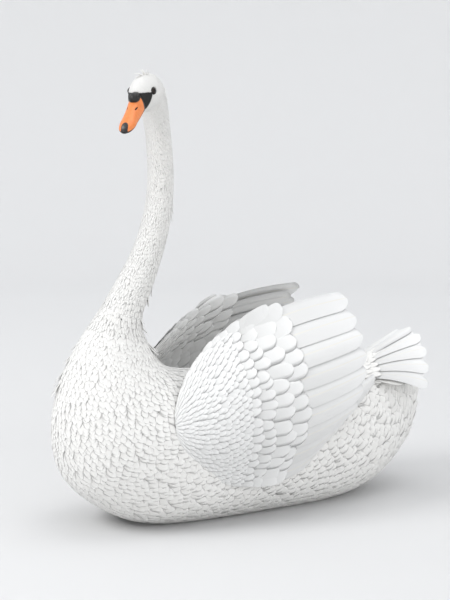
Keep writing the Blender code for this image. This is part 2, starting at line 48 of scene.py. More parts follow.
bodyForm = {
    "skull": (-0.165, 0.874),       # (y, z) of the skull's middle before the head turns
    "dip": math.radians(20),        # how far the bill points below level
    "turn": math.radians(42),       # how far the head turns to the bird's left
    "turnAxisY": -0.088,            # where the upright axis stands that it turns about
    # forward and up of the crown, forward and up of the throat, half width
    "head": (
        ((0.050, 0.0170), (0.050, -0.0210), 0.0165),
        ((0.039, 0.0275), (0.038, -0.0265), 0.0222),
        ((0.023, 0.0338), (0.025, -0.0305), 0.0272),
        ((0.004, 0.0362), (0.010, -0.0328), 0.0302),
        ((-0.018, 0.0340), (-0.000, -0.0345), 0.0308),
        ((-0.038, 0.0240), (-0.006, -0.0382), 0.0294),
        ((-0.052, 0.0050), (-0.0084, -0.0419), 0.0280),
    ),
    # (y, z) of the middle, half depth, half width
    "neck": (
        ((-0.114, 0.8455), 0.0300, 0.0269),
        ((-0.097, 0.806), 0.0268, 0.0256),
        ((-0.088, 0.755), 0.0266, 0.0256),
        ((-0.086, 0.698), 0.0270, 0.0261),
        ((-0.092, 0.641), 0.0281, 0.0272),
        ((-0.106, 0.584), 0.0301, 0.0290),
        ((-0.128, 0.528), 0.0332, 0.0316),
        ((-0.155, 0.475), 0.0382, 0.0362),
        ((-0.180, 0.426), 0.0458, 0.0432),
    ),
    # (y, z) of the back, (y, z) of the belly, half width; the last are under the tail
    "trunk": (
        ((-0.120, 0.366), (-0.263, 0.388), 0.0590),
        ((-0.103, 0.337), (-0.299, 0.320), 0.0810),
        ((-0.080, 0.317), (-0.320, 0.242), 0.1060),
        ((-0.048, 0.307), (-0.319, 0.160), 0.1285),
        ((-0.010, 0.302), (-0.287, 0.083), 0.1455),
        ((0.040, 0.301), (-0.210, 0.022), 0.1560),
        ((0.100, 0.302), (-0.090, -0.009), 0.1600),
        ((0.160, 0.300), (0.140, -0.013), 0.1580),
        ((0.220, 0.294), (0.285, -0.010), 0.1515),
        ((0.275, 0.287), (0.378, 0.008), 0.1395),
        ((0.320, 0.282), (0.448, 0.044), 0.1240),
        ((0.362, 0.281), (0.499, 0.093), 0.1065),
        ((0.400, 0.286), (0.531, 0.150), 0.0870),
        ((0.434, 0.295), (0.547, 0.209), 0.0660),
        ((0.460, 0.305), (0.548, 0.263), 0.0440),
        ((0.474, 0.311), (0.548, 0.286), 0.0280),
        ((0.488, 0.316), (0.545, 0.302), 0.0170),
        ((0.500, 0.320), (0.536, 0.312), 0.0070),
    ),
    "widestDrop": 0.06,             # how far below its middle a section is widest
    "bellyFullness": 0.84,          # below 1 the belly is fuller than an ellipse
}


def naturalSpline(points):
    # Cubic pieces with matching slope and bend through evenly numbered points.
    points = np.asarray(points, float)
    n = len(points)
    system, right = np.eye(n), np.zeros_like(points)
    for i in range(1, n - 1):
        system[i, i - 1 : i + 2] = (1, 4, 1)
        right[i] = 6 * (points[i + 1] - 2 * points[i] + points[i - 1])
    bend = np.linalg.solve(system, right)

    def at(t):
        t = np.asarray(t, float)
        low = np.clip(np.floor(t).astype(int), 0, n - 2)
        b = (t - low)[..., None]
        a = 1 - b
        cubic = (a**3 - a) / 6 * bend[low] + (b**3 - b) / 6 * bend[low + 1]
        return a * points[low] + b * points[low + 1] + cubic

    return at


def smoothStep(x):
    x = np.clip(x, 0, 1)
    return x * x * (3 - 2 * x)


def unit(vectors):
    return vectors / np.maximum(np.linalg.norm(vectors, axis=-1, keepdims=True), 1e-12)


def skullPlane(forward, up):
    c, s = math.cos(bodyForm["dip"]), math.sin(bodyForm["dip"])
    y, z = bodyForm["skull"]
    return y - forward * c - up * s, z - forward * s + up * c


def bodyStations():
    rows = [(*skullPlane(*crown), *skullPlane(*throat), w) for crown, throat, w in bodyForm["head"]]
    middles = np.array([middle for middle, _, _ in bodyForm["neck"]])
    before = (np.array(rows[-1][:2]) + np.array(rows[-1][2:4])) / 2
    firstBack, firstBelly, _ = bodyForm["trunk"][0]
    after = (np.array(firstBack) + np.array(firstBelly)) / 2
    along = unit(np.gradient(np.vstack([before, middles, after]), axis=0)[1:-1])
    for (middle, depth, width), (ty, tz) in zip(bodyForm["neck"], along):
        side = np.array((-tz, ty)) * depth
        rows.append((*(middle + side), *(middle - side), width))
    rows += [(*back, *belly, width) for back, belly, width in bodyForm["trunk"]]
    return np.array(rows)


bodyRows = naturalSpline(bodyStations())
headCount, neckCount = len(bodyForm["head"]), len(bodyForm["neck"])
neckEnd = headCount + neckCount + 0.5
rumpEnd = headCount + neckCount + len(bodyForm["trunk"]) - 1.0


def turned(points, station):
    # Turns points about the neck's upright axis by the head's turn at that station.
    t = smoothStep((station - headCount + 1) / 6.5)
    angle = bodyForm["turn"] * (1 - t)
    x, y = points[..., 0], points[..., 1] - bodyForm["turnAxisY"]
    return np.stack(
        [
            x * np.cos(angle) - y * np.sin(angle),
            x * np.sin(angle) + y * np.cos(angle) + bodyForm["turnAxisY"],
            points[..., 2],
        ],
        -1,
    )


def bodySurface(station, around):
    # The plumage's outer surface. Each section is an ellipse between the back line and
    # the belly line, fuller below on the trunk. around is 0 on the back, pi/2 on the
    # bird's left and pi on the belly.
    rows = bodyRows(station)
    trunk = np.clip((station - neckEnd) / 3, 0, 1)
    low = np.maximum(trunk, np.clip(1 - station / 6, 0, 1))
    sine, cosine = np.sin(around), np.cos(around)
    share = (1 - cosine) / 2 + bodyForm["widestDrop"] * low * sine**2
    middle = rows[..., 0:2] + (rows[..., 2:4] - rows[..., 0:2]) * share[..., None]
    full = 1 - (1 - bodyForm["bellyFullness"]) * trunk * np.clip(-cosine, 0, 1) ** 0.5
    side = rows[..., 4] * np.sign(sine) * np.abs(sine) ** full
    points = turned(np.stack([side, middle[..., 0], middle[..., 1]], -1), station)
    points[..., 2] = np.maximum(points[..., 2], 0)
    return points


def fromSkull(forward, side, up):
    # Places given in the skull's own frame, with the head turned.
    forward, side, up = np.broadcast_arrays(forward, side, up)
    y, z = skullPlane(forward, up)
    return turned(np.stack([side, y, z], -1), np.zeros(side.shape))


def toSkull(points):
    # The other way round, for places on the head: forward, side and up in the skull's frame.
    c, s = math.cos(bodyForm["turn"]), math.sin(bodyForm["turn"])
    x, y = points[..., 0], points[..., 1] - bodyForm["turnAxisY"]
    side, y = x * c + y * s, y * c - x * s + bodyForm["turnAxisY"]
    c, s = math.cos(bodyForm["dip"]), math.sin(bodyForm["dip"])
    y, z = y - bodyForm["skull"][0], points[..., 2] - bodyForm["skull"][1]
    return np.stack([-(y * c + z * s), side, z * c - y * s], -1)


# Proud is how far the ball stands out of the head.
eyeForm = {"station": 2.25, "around": math.radians(68), "radius": 0.0072, "proud": 0.0028}


def eyeFrame(side):
    # The eye's middle, and its outward, forward and upward directions.
    u, v = np.array(eyeForm["station"]), np.array(side * eyeForm["around"])
    e = 1e-3
    down = bodySurface(u + e, v) - bodySurface(u - e, v)
    over = bodySurface(u, v + e) - bodySurface(u, v - e)
    outward = unit(np.cross(over, down))
    centre = bodySurface(u, v) - outward * (eyeForm["radius"] - eyeForm["proud"])
    ahead = fromSkull(1.0, 0.0, 0.0) - fromSkull(0.0, 0.0, 0.0)
    ahead = unit(ahead - outward * np.dot(ahead, outward))
    return centre, outward, ahead, np.cross(outward, ahead) * side


eyeFrames = {side: eyeFrame(side) for side in (1, -1)}

faceForm = {
    # (forward, up) in millimetres where the bare black skin meets the eye, the forehead
    # feathers and the gape
    "eyeCorner": (25.0, 10.5),
    "forehead": (46.0, 16.5),
    "gape": (46.5, -15.5),
    "rim": 47.6,
    "eyeRing": 7.5,
}


def bareDistance(points):
    # Millimetres inside (or, below 0, outside) the bare skin: a wedge from the eye's
    # corner to the bill, a rim round the bill, and a ring round each eye.
    place = toSkull(points) * 1000
    f, u = place[..., 0], place[..., 2]
    corner = np.array(faceForm["eyeCorner"])
    edges = []
    for name, way in (("forehead", -1), ("gape", 1)):
        line = unit(np.array(faceForm[name]) - corner)
        edges.append(way * ((u - corner[1]) * line[0] - (f - corner[0]) * line[1]))
    bare = np.maximum(np.minimum(*edges) + 0.6, f - faceForm["rim"])
    for centre, outward, _, _ in eyeFrames.values():
        away = points - centre
        across = away - outward * np.sum(away * outward, -1, keepdims=True)
        ring = faceForm["eyeRing"] - 1000 * np.linalg.norm(across, axis=-1)
        ring = np.where(np.sum(away * outward, -1) > -0.004, ring, -50)
        bare = np.maximum(bare, ring)
    return np.where(points[..., 2] > 0.82, bare, -50)


wingForm = {
    # (y, z) of the lower edge, (y, z) of the upper edge, x at the lower edge,
    # the thirds and the upper edge
    "sections": (
        ((-0.116, 0.118), (-0.104, 0.318), (0.130, 0.141, 0.118, 0.074)),
        ((-0.020, 0.095), (-0.010, 0.376), (0.157, 0.185, 0.163, 0.088)),
        ((0.070, 0.085), (0.088, 0.420), (0.163, 0.204, 0.181, 0.098)),
        ((0.150, 0.098), (0.195, 0.446), (0.157, 0.203, 0.180, 0.096)),
        ((0.224, 0.138), (0.305, 0.456), (0.134, 0.186, 0.160, 0.084)),
    ),
    "frontBulge": 0.016,          # how far the front edge and the tips bow out in the middle
    "rearBulge": 0.036,
    "rounding": 0.30,             # share of the length that the round front takes
    "thickness": 0.020,
    "tipThickness": 0.0024,
    "armBulk": 0.022,             # how much the arm adds inside, low down in front
    "covertEnd": 0.60,            # share of the length that is thick with coverts
    "tips": 9,                    # broad flight feathers that show
}
wingEdges = naturalSpline([(*low, *high) for low, high, _ in wingForm["sections"]])
wingXs = naturalSpline([xs for _, _, xs in wingForm["sections"]])


def wingMiddle(along, across):
    # The wing's middle surface: a ruled sheet between the lower and upper edges, bowed
    # out by a smooth curve through four x values and rounded off in front. along runs
    # from the wrist to the feather tips, across from the lower to the upper edge.
    along, across = np.broadcast_arrays(along, across)
    nose = np.clip(1 - along / wingForm["rounding"], 0, 1)
    across = 0.5 + (across - 0.5) * (1 - 0.975 * nose**2.1) ** (1 / 2.1)
    t = along * (len(wingForm["sections"]) - 1)
    edges = wingEdges(t)
    y, z = np.moveaxis(
        edges[..., :2] + (edges[..., 2:] - edges[..., :2]) * across[..., None], -1, 0
    )
    crown = 4 * across * (1 - across)
    y = y + crown * (wingForm["rearBulge"] * along**2 - wingForm["frontBulge"] * (1 - along) ** 2)
    knots = wingXs(t)
    low = np.clip(np.floor(across * 3).astype(int), 0, 2)
    index = np.stack([np.clip(low + k, 0, 3) for k in (-1, 0, 1, 2)], -1)
    a, b, c, d = np.moveaxis(np.take_along_axis(knots, index, -1), -1, 0)
    part = across * 3 - low
    x = b + part * (c - a) / 2 + part**2 * (a - 2.5 * b + 2 * c - d / 2)
    x = x + part**3 * (1.5 * (b - c) + (d - a) / 2)
    return np.stack([x, y, z], -1)


def wingNormal(along, across):
    e = 1e-3
    across = np.clip(across, 0.015, 0.985)
    down = wingMiddle(along + e, across) - wingMiddle(along - e, across)
    over = wingMiddle(along, across + e) - wingMiddle(along, across - e)
    return unit(np.cross(down, over))


def wingDepths(along, across):
    # How far the wing's outer face and its inner face lie from its middle surface.
    edge = 0.30 + 0.70 * np.sqrt(np.clip(4 * across * (1 - across), 0, 1))
    end = wingForm["covertEnd"]
    swell = np.sin(np.pi * (0.15 + 0.85 * np.clip(along / end, 0, 1)))
    thin = np.clip((along - end) / (1 - end), 0, 1)
    thick = wingForm["thickness"] * (0.55 + 0.45 * swell) * (1 - thin)
    half = (thick + wingForm["tipThickness"] * thin) * edge / 2
    bulk = np.clip((0.72 - across) / 0.3, 0, 1) * np.clip((0.6 - along) / 0.25, 0, 1)
    return half, half + wingForm["armBulk"] * edge * bulk


tailForm = {
    "root": (0.345, 0.250),       # (y, z)
    "rise": math.radians(24),
    "length": 0.222,
    "spread": math.radians(38),   # from the middle to the outermost feather
    "droop": 4.7,                 # how far the sides fall, over the square of their distance
    "tips": 9,
    "overlap": 1.22,              # a vane's width over the room it has
    "arch": 0.0018,
    "tilt": 0.0013,
    "proud": 0.0030,              # how far the middle one lies above the fan's surface
    "thick": 0.0010,
}


def tailSurface(reach, over):
    # A fan from its root along a raised line, its sides falling with the square of
    # their distance from the middle.
    fan = tailForm["spread"] * over
    flat = 0.050 + tailForm["length"] * reach
    x, back = flat * np.sin(fan), flat * np.cos(fan) - 0.05
    drop = tailForm["droop"] * x**2 * (0.4 + 0.6 * reach)
    c, s = math.cos(tailForm["rise"]), math.sin(tailForm["rise"])
    y = tailForm["root"][0] + back * c + drop * s
    z = tailForm["root"][1] + back * s - drop * c
    return np.stack([x, y, z], -1)


# Meshes

def newPiece(name, vertices, faces, materials, slot, smooth=True):
    mesh = bpy.data.meshes.new(name)
    mesh.from_pydata([], [], [])
    vertices = np.asarray(vertices, np.float32).reshape(-1, 3)
    sizes = np.concatenate([np.full(len(f), f.shape[1]) for f in faces])
    corners = np.concatenate([f.ravel() for f in faces]).astype(np.int32)
    mesh.vertices.add(len(vertices))
    mesh.vertices.foreach_set("co", vertices.ravel())
    mesh.loops.add(len(corners))
    mesh.loops.foreach_set("vertex_index", corners)
    mesh.polygons.add(len(sizes))
    mesh.polygons.foreach_set("loop_start", np.concatenate([[0], np.cumsum(sizes)[:-1]]).astype(np.int32))
    mesh.polygons.foreach_set("use_smooth", np.full(len(sizes), smooth))
    mesh.update(calc_edges=True)
    made = bpy.data.objects.new(name, mesh)
    scene.collection.objects.link(made)
    for finish in materials:
        mesh.materials.append(finish)
    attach(made, "root")
    return made


def gridFaces(rows, columns, closed=False):
    # Quads of a grid of vertices numbered row by row; closed joins the last column to the first.
    i = np.arange(rows - 1)[:, None] * columns
    j = np.arange(columns if closed else columns - 1)[None, :]
    k = (j + 1) % columns
    return np.stack([i + j, i + k, i + columns + k, i + columns + j], -1).reshape(-1, 4)


def vaneTemplate(rows, columns):
    # A closed vane on a grid: the arched top, and a flat strip below between its two edges.
    top = gridFaces(rows, columns)
    i = np.arange(rows - 1) * columns
    below = np.stack([i, i + columns, i + 2 * columns - 1, i + columns - 1], -1)
    root = np.arange(columns)[None, :]
    tip = (rows - 1) * columns + np.arange(columns)[::-1][None, :]
    return top, below, root, tip


def setUv(mesh, name, perVertex):
    layer = mesh.uv_layers.new(name=name)
    corners = np.empty(len(mesh.loops), np.int32)
    mesh.loops.foreach_get("vertex_index", corners)
    layer.data.foreach_set("uv", perVertex[corners].astype(np.float32).ravel())


def setTone(mesh, name, perVertex):
    tone = mesh.attributes.new(name, "FLOAT", "POINT")
    tone.data.foreach_set("value", perVertex.astype(np.float32))


def vanePiece(name, top, patches, tones, materials, slot, outward):
    # top holds (feathers, rows, columns, 3); patches holds each root's place on the unwrap.
    count, rows, columns, _ = top.shape
    template = vaneTemplate(rows, columns)
    start = (np.arange(count) * rows * columns)[:, None, None]
    faces = [(start + part[None]).reshape(-1, part.shape[1]) for part in template]
    # turns every face over where the grid was laid the other way round
    across = top[:, rows // 2, -1] - top[:, rows // 2, 0]
    down = top[:, -1, columns // 2] - top[:, 0, columns // 2]
    if np.mean(np.sum(np.cross(across, down) * outward, -1)) > 0:
        faces = [part[:, ::-1] for part in faces]
    made = newPiece(name, top, faces, materials, slot)
    flat = np.zeros(sum(len(part) for part in faces), bool)
    flat[: len(faces[0])] = True
    made.data.polygons.foreach_set("use_smooth", flat)
    s, t = np.meshgrid(np.linspace(0, 1, rows), np.linspace(0, 1, columns), indexing="ij")
    local = np.stack([t, s], -1)
    vane = np.broadcast_to(local, (count, rows, columns, 2)).reshape(-1, 2)
    setUv(made.data, "vane", vane)
    bake = patches[:, None, None, :] + 0.003 * (local[None] - 0.5)
    setUv(made.data, "OFBake", np.clip(bake, 0.0005, 0.9995).reshape(-1, 2))
    setTone(made.data, "tone", np.repeat(tones, rows * columns))
    return made


# The body's chart: positions and normals by length walked down the body

def bodyChart(first, last, step, sides):
    # Each lengthwise line of the body is walked in equal steps of its own length. Every
    # entry holds its point, normal, station, and how far a radian round the body goes
    # across the line and along it.
    stations = np.linspace(first, last, 1500)
    around = np.linspace(0, 2 * np.pi, sides + 1)
    points = bodySurface(stations[:, None], around[None, :])
    walked = np.linalg.norm(np.diff(points, axis=0), axis=-1)
    walked = np.vstack([np.zeros(sides + 1), np.cumsum(walked, axis=0)])
    wanted = np.arange(0, walked.max() + step, step)
    station = np.stack(
        [np.interp(wanted, walked[:, j], stations) for j in range(sides + 1)], axis=1
    )
    e = 1e-3
    points = bodySurface(station, around[None, :])
    down = unit(bodySurface(station + e, around[None, :]) - bodySurface(station - e, around[None, :]))
    over = bodySurface(station, around[None, :] + e) - bodySurface(station, around[None, :] - e)
    normals = unit(np.cross(over, down))
    ring = points[:, :-1]
    girth = (np.roll(ring, -1, axis=1) - np.roll(ring, 1, axis=1)) * sides / (4 * np.pi)
    girth = np.concatenate([girth, girth[:, :1]], axis=1)
    across = np.sum(girth * np.cross(down, normals), -1)
    shear = np.sum(girth * down, -1)
    return {
        "step": step,
        "sides": sides,
        "values": np.concatenate(
            [points, normals, station[..., None], across[..., None], shear[..., None]], -1
        ),
        "length": walked[-1],
    }


def chartAt(chart, walked, around):
    # Reads point, normal, station, and the two lengths per radian, between the chart's
    # nearest entries.
    values = chart["values"]
    k = np.clip(walked / chart["step"], 0, len(values) - 1.001)
    j = (around / (2 * np.pi) % 1.0) * chart["sides"]
    k0, j0 = k.astype(int), np.minimum(j.astype(int), chart["sides"] - 1)
    a, b = (k - k0)[..., None], (j - j0)[..., None]
    near = values[k0, j0] * (1 - b) + values[k0, j0 + 1] * b
    far = values[k0 + 1, j0] * (1 - b) + values[k0 + 1, j0 + 1] * b
    read = near * (1 - a) + far * a
    return read[..., 0:3], unit(read[..., 3:6]), read[..., 6], read[..., 7], read[..., 8]


chart = bodyChart(0.0, rumpEnd, 0.002, 240)
print("body chart made")


def rowedRoots(random, firstStation, lastStation, spacingOf, widthOf, jitter):
    # Rows across the body, one spacing apart down it. In each row the places stand at
    # equal steps of girth over spacing, every other row half a step on, all shaken a little.
    ringAround = np.linspace(0, 2 * np.pi, 721)
    walked, around = [], []
    place, row = 0.0, 0
    while place < chart["length"].max():
        _, _, station, width, _ = chartAt(chart, np.full(721, place), ringAround)
        width = np.maximum(np.abs(width), 0.001)
        spacing = spacingOf(station)
        beside = widthOf(station)
        counted = np.concatenate([[0], np.cumsum((width / beside)[1:] * np.diff(ringAround))])
        count = max(int(round(counted[-1])), 3)
        wanted = (np.arange(count) + 0.5 * (row % 2) + random.normal(0, jitter, count)) / count
        v = np.interp(wanted % 1.0, counted / counted[-1], ringAround)
        gap = np.interp(v, ringAround, spacing)
        walked.append(place + random.normal(0, jitter, count) * gap)
        around.append(v)
        place += float(np.average(spacing, weights=width))
        row += 1
    walked, around = np.maximum(np.concatenate(walked), 0.0), np.concatenate(around)
    station = chartAt(chart, walked, around)[2]
    most = np.interp(around, np.linspace(0, 2 * np.pi, chart["sides"] + 1), chart["length"])
    inside = (station >= firstStation) & (station < lastStation) & (walked < most)
    return walked[inside], around[inside]


def vaneShape(rows, blunt):
    # Shares of the length at the rows, closest together at the tip, and the width there:
    # swelling from the root, then closing in a curve that is rounder the more blunt.
    s = 1 - (1 - np.linspace(0, 1, rows)) ** 1.75
    start = 0.36 + 0.24 * blunt
    swell = 0.40 + 0.60 * np.sin(np.pi / 2 * np.clip(s / start, 0, 1)) ** 0.9
    near = np.clip((s - start) / (1 - start), 0, 1)
    return s, swell * np.clip(1 - near**2, 0.004, 1) ** (0.62 - 0.14 * blunt)


def bodyVanes(name, random, roots, sizes, rows, columns, look, materials, slot):
    # Feathers that lie along the body's own lines, rising from the skin to the outer
    # surface at their tips. sizes holds each one's length, width, root depth, tip lift.
    walked, around = roots
    length, width, depth, tipLift = sizes
    count = len(walked)
    s, wide = vaneShape(rows, look["blunt"])
    t = np.linspace(-1, 1, columns)
    # neighbours lean the same way, in slow waves over the body
    wave = np.sin(walked * 61 + 3.1 * np.sin(around * 2 + 1)) + np.sin(walked * 23 - 5 * around)
    slant = look["slant"] * (0.6 * wave + random.normal(0, 0.5, count))
    _, _, _, across, shear = chartAt(chart, walked + 0.6 * length, around)
    across = np.maximum(np.abs(across), 0.004)
    shear = np.clip(shear / across, -2, 2)
    stretch = 1 + random.normal(0, look["ragged"], (count, 1, columns)) * (s[None, :, None] > 0.9)
    along = length[:, None, None] * s[None, :, None] * stretch
    side = width[:, None, None] / 2 * wide[None, :, None] * t[None, None, :]
    side = side + along * np.tan(slant)[:, None, None]
    a = walked[:, None, None] + along - side * shear[:, None, None]
    v = around[:, None, None] + side / across[:, None, None]
    point, normal = chartAt(chart, np.maximum(a, 0), v)[:2]
    rise = s ** look["rise"]
    lift = -depth[:, None] + (depth + tipLift)[:, None] * rise[None, :]
    arch = look["arch"] * width[:, None, None] * (1 - t**2)[None, None, :]
    arch = arch * np.clip(wide, 0.2, 1)[None, :, None]
    # each lies a little over its neighbour, the same way round on both sides of the bird
    leaning = np.where(np.sin(around) > 0, 1, -1)[:, None, None] * look["tilt"] * width[:, None, None]
    arch = arch + leaning * t[None, None, :] * s[None, :, None]
    point = point + normal * (lift[:, :, None] + arch)[..., None]
    point[..., 2] = np.maximum(point[..., 2], 0.0006)
    patch = np.stack([0.04 + 0.50 * around / (2 * np.pi), 0.03 + 0.94 * walked / chart["length"].max()], -1)
    tone = 1 + random.normal(0, look["tone"], count)
    outward = chartAt(chart, walked, around)[1]
    return vanePiece(name, point, patch, tone, materials, slot, outward)


# Finishes

def newMaterial(name):
    made = bpy.data.materials.new(name)
    made.use_nodes = True
    made.node_tree.nodes.clear()
    return made, made.node_tree


def node(tree, kind, **settings):
    made = tree.nodes.new(kind)
    for key, value in settings.items():
        setattr(made, key, value)
    return made


def wire(tree, source, target):
    tree.links.new(source, target)


def principled(tree, **values):
    # An underscore in a value's name stands for a space.
    shader = node(tree, "ShaderNodeBsdfPrincipled")
    out = node(tree, "ShaderNodeOutputMaterial")
    wire(tree, shader.outputs[0], out.inputs[0])
    for key, value in values.items():
        shader.inputs[key.replace("_", " ")].default_value = value
    return shader


def calculator(tree):
    # Returns a function that adds a Math node and wires or sets its inputs.
    def calc(operation, *values, clamp=False):
        step = node(tree, "ShaderNodeMath", operation=operation, use_clamp=clamp)
        for socket, value in zip(step.inputs, values):
            if isinstance(value, (int, float)):
                socket.default_value = value
            else:
                wire(tree, value, socket)
        return step.outputs[0]

    return calc


def mixColour(tree, amount, first, second):
    mixed = node(tree, "ShaderNodeMix", data_type="RGBA")
    for socket, value in ((mixed.inputs[0], amount), (mixed.inputs[6], first), (mixed.inputs[7], second)):
        if isinstance(value, (int, float)):
            socket.default_value = value
        elif isinstance(value, tuple):
            socket.default_value = (*value, 1)
        else:
            wire(tree, value, socket)
    return mixed.outputs[2]


def barbGroup():
    # Fine slanting barbs on both sides of a pale shaft, read from the vane's own map.
    group = bpy.data.node_groups.new("featherBarbs", "ShaderNodeTree")
    face = group.interface
    face.new_socket("Vane", in_out="INPUT", socket_type="NodeSocketVector")
    for label, value in (("Barbs", 60.0), ("Depth", 0.3)):
        face.new_socket(label, in_out="INPUT", socket_type="NodeSocketFloat").default_value = value
    face.new_socket("Shade", in_out="OUTPUT", socket_type="NodeSocketFloat")
    face.new_socket("Normal", in_out="OUTPUT", socket_type="NodeSocketVector")
    ins, outs = node(group, "NodeGroupInput"), node(group, "NodeGroupOutput")
    split = node(group, "ShaderNodeSeparateXYZ")
    wire(group, ins.outputs["Vane"], split.inputs[0])
    calc = calculator(group)
    fromShaft = calc("ABSOLUTE", calc("SUBTRACT", split.outputs[0], 0.5))
    slanted = calc("SUBTRACT", split.outputs[1], calc("MULTIPLY", fromShaft, 0.55))
    ripple = calc("SINE", calc("MULTIPLY", slanted, ins.outputs["Barbs"]))
    shaft = calc("SUBTRACT", 1, calc("MINIMUM", calc("MULTIPLY", fromShaft, 18), 1))
    height = calc("ADD", calc("MULTIPLY", ripple, 0.25), shaft)
    bump = node(group, "ShaderNodeBump")
    bump.inputs["Distance"].default_value = 0.0006
    wire(group, ins.outputs["Depth"], bump.inputs["Strength"])
    wire(group, height, bump.inputs["Height"])
    wire(group, bump.outputs[0], outs.inputs["Normal"])
    shade = calc("ADD", calc("MULTIPLY", ripple, 0.5), 0.5)
    wire(group, shade, outs.inputs["Shade"])
    return group


barbs = barbGroup()


def featherMaterial(name, tip, root, barbCount, depth, roughness, quill=False):
    # Darker towards the root than at the tip, painted shade where the feathers overlap, and lighter or darker
    # by each feather's tone.
    made, tree = newMaterial(name)
    shader = principled(
        tree,
        Roughness=roughness,
        Specular_IOR_Level=0.25,
        Sheen_Weight=0.25,
        Sheen_Roughness=0.45,
    )
    vane = node(tree, "ShaderNodeUVMap", uv_map="vane")
    tone = node(tree, "ShaderNodeAttribute", attribute_name="tone")
    lines = node(tree, "ShaderNodeGroup", node_tree=barbs)
    lines.inputs["Barbs"].default_value = barbCount
    lines.inputs["Depth"].default_value = depth
    wire(tree, vane.outputs[0], lines.inputs["Vane"])
    split = node(tree, "ShaderNodeSeparateXYZ")
    wire(tree, vane.outputs[0], split.inputs[0])
    # painted shade: the colour darkens from the tip to the hidden root
    rootShadeRamp = node(tree, "ShaderNodeMapRange")
    rootShadeRamp.inputs["From Min"].default_value = 0.15
    rootShadeRamp.inputs["From Max"].default_value = 0.8
    wire(tree, split.outputs[1], rootShadeRamp.inputs["Value"])
    colour = mixColour(tree, rootShadeRamp.outputs[0], root, tip)
    if quill:
        calc = calculator(tree)
        # darker along the edge that its neighbour covers, painted shade under the neighbour, and a cream
        # shaft
        coveredEdgeShade = calc("MULTIPLY_ADD", split.outputs[0], 3.2, -2.3, clamp=True)
        colour = mixColour(tree, calc("MULTIPLY", coveredEdgeShade, 0.45), colour, (0.46, 0.46, 0.47))
        fromShaft = calc("ABSOLUTE", calc("SUBTRACT", split.outputs[0], 0.5))
        shaft = calc("SUBTRACT", 1, calc("MULTIPLY", fromShaft, 26, clamp=True))
        colour = mixColour(tree, calc("MULTIPLY", shaft, 0.55), colour, (0.80, 0.76, 0.66))
    scaled = node(tree, "ShaderNodeMix", data_type="RGBA", blend_type="MULTIPLY")
    scaled.inputs[0].default_value = 1.0
    wire(tree, colour, scaled.inputs[6])
    wire(tree, tone.outputs["Color"], scaled.inputs[7])
    wire(tree, scaled.outputs[2], shader.inputs["Base Color"])
    wire(tree, lines.outputs["Normal"], shader.inputs["Normal"])
    return made


# tip colour, then the root's darker colour, painted shade under the overlapping feathers
bodyWhite = featherMaterial(
    "bodyPlumage", (0.88, 0.872, 0.85), (0.79, 0.78, 0.755), 130.0, 0.10, 0.72
)
# the wing's white is a little greyer than the body's, painted shade, and its roots darker still
wingWhite = featherMaterial(
    "wingPlumage", (0.84, 0.84, 0.832), (0.66, 0.66, 0.65), 160.0, 0.12, 0.66
)
# the flight feathers' white is greyer than the body's too, painted shade
quillWhite = featherMaterial(
    "quillPlumage", (0.83, 0.83, 0.825), (0.70, 0.70, 0.69), 700.0, 0.22, 0.58, quill=True
)
print("finishes made")


def leatherGroup():
    # Bare skin: small pebbled grains with finer grain between, worked from the place given.
    group = bpy.data.node_groups.new("bareSkinGrain", "ShaderNodeTree")
    face = group.interface
    face.new_socket("Place", in_out="INPUT", socket_type="NodeSocketVector")
    face.new_socket("Grains", in_out="INPUT", socket_type="NodeSocketFloat").default_value = 900
    face.new_socket("Shade", in_out="OUTPUT", socket_type="NodeSocketFloat")
    face.new_socket("Height", in_out="OUTPUT", socket_type="NodeSocketFloat")
    ins, outs = node(group, "NodeGroupInput"), node(group, "NodeGroupOutput")
    calc = calculator(group)
    cells = node(group, "ShaderNodeTexVoronoi", feature="SMOOTH_F1")
    noise = node(group, "ShaderNodeTexNoise")
    noise.inputs["Detail"].default_value = 5
    for texture in (cells, noise):
        wire(group, ins.outputs["Place"], texture.inputs["Vector"])
    wire(group, ins.outputs["Grains"], cells.inputs["Scale"])
    wire(group, calc("MULTIPLY", ins.outputs["Grains"], 0.35), noise.inputs["Scale"])
    pebbles = calc("SUBTRACT", 1, cells.outputs["Distance"])
    height = calc("ADD", calc("MULTIPLY", pebbles, 0.7), calc("MULTIPLY", noise.outputs[0], 0.6))
    wire(group, height, outs.inputs["Height"])
    wire(group, noise.outputs[0], outs.inputs["Shade"])
    return group


leather = leatherGroup()


def addLeather(tree, shader, grains, depth, distance=0.0004):
    # Joins the grain to the shader's normal and returns its shade.
    place = node(tree, "ShaderNodeTexCoord")
    grain = node(tree, "ShaderNodeGroup", node_tree=leather)
    grain.inputs["Grains"].default_value = grains
    wire(tree, place.outputs["Object"], grain.inputs["Place"])
    bump = node(tree, "ShaderNodeBump")
    bump.inputs["Strength"].default_value = depth
    bump.inputs["Distance"].default_value = distance
    wire(tree, grain.outputs["Height"], bump.inputs["Height"])
    wire(tree, bump.outputs[0], shader.inputs["Normal"])
    return grain.outputs["Shade"]


def skinMaterial():
    # Pale down, darker than the feathers' tips like their roots, painted shade in the gaps between feathers,
    # and black grained skin where it is bare.
    made, tree = newMaterial("skinUnderPlumage")
    shader = principled(tree, Specular_IOR_Level=0.3)
    calc = calculator(tree)
    bare = node(tree, "ShaderNodeAttribute", attribute_name="bare")
    isBare = calc("MULTIPLY_ADD", bare.outputs["Fac"], 3.0, 2.3, clamp=True)
    shade = addLeather(tree, shader, 1100, 0.55)
    black = mixColour(tree, shade, (0.005, 0.005, 0.0055), (0.020, 0.019, 0.018))
    down = mixColour(tree, shade, (0.70, 0.68, 0.65), (0.86, 0.85, 0.83))
    wire(tree, mixColour(tree, isBare, down, black), shader.inputs["Base Color"])
    wire(tree, calc("MULTIPLY_ADD", isBare, -0.32, 0.82), shader.inputs["Roughness"])
    return made


skinFinish = skinMaterial()

# Skin

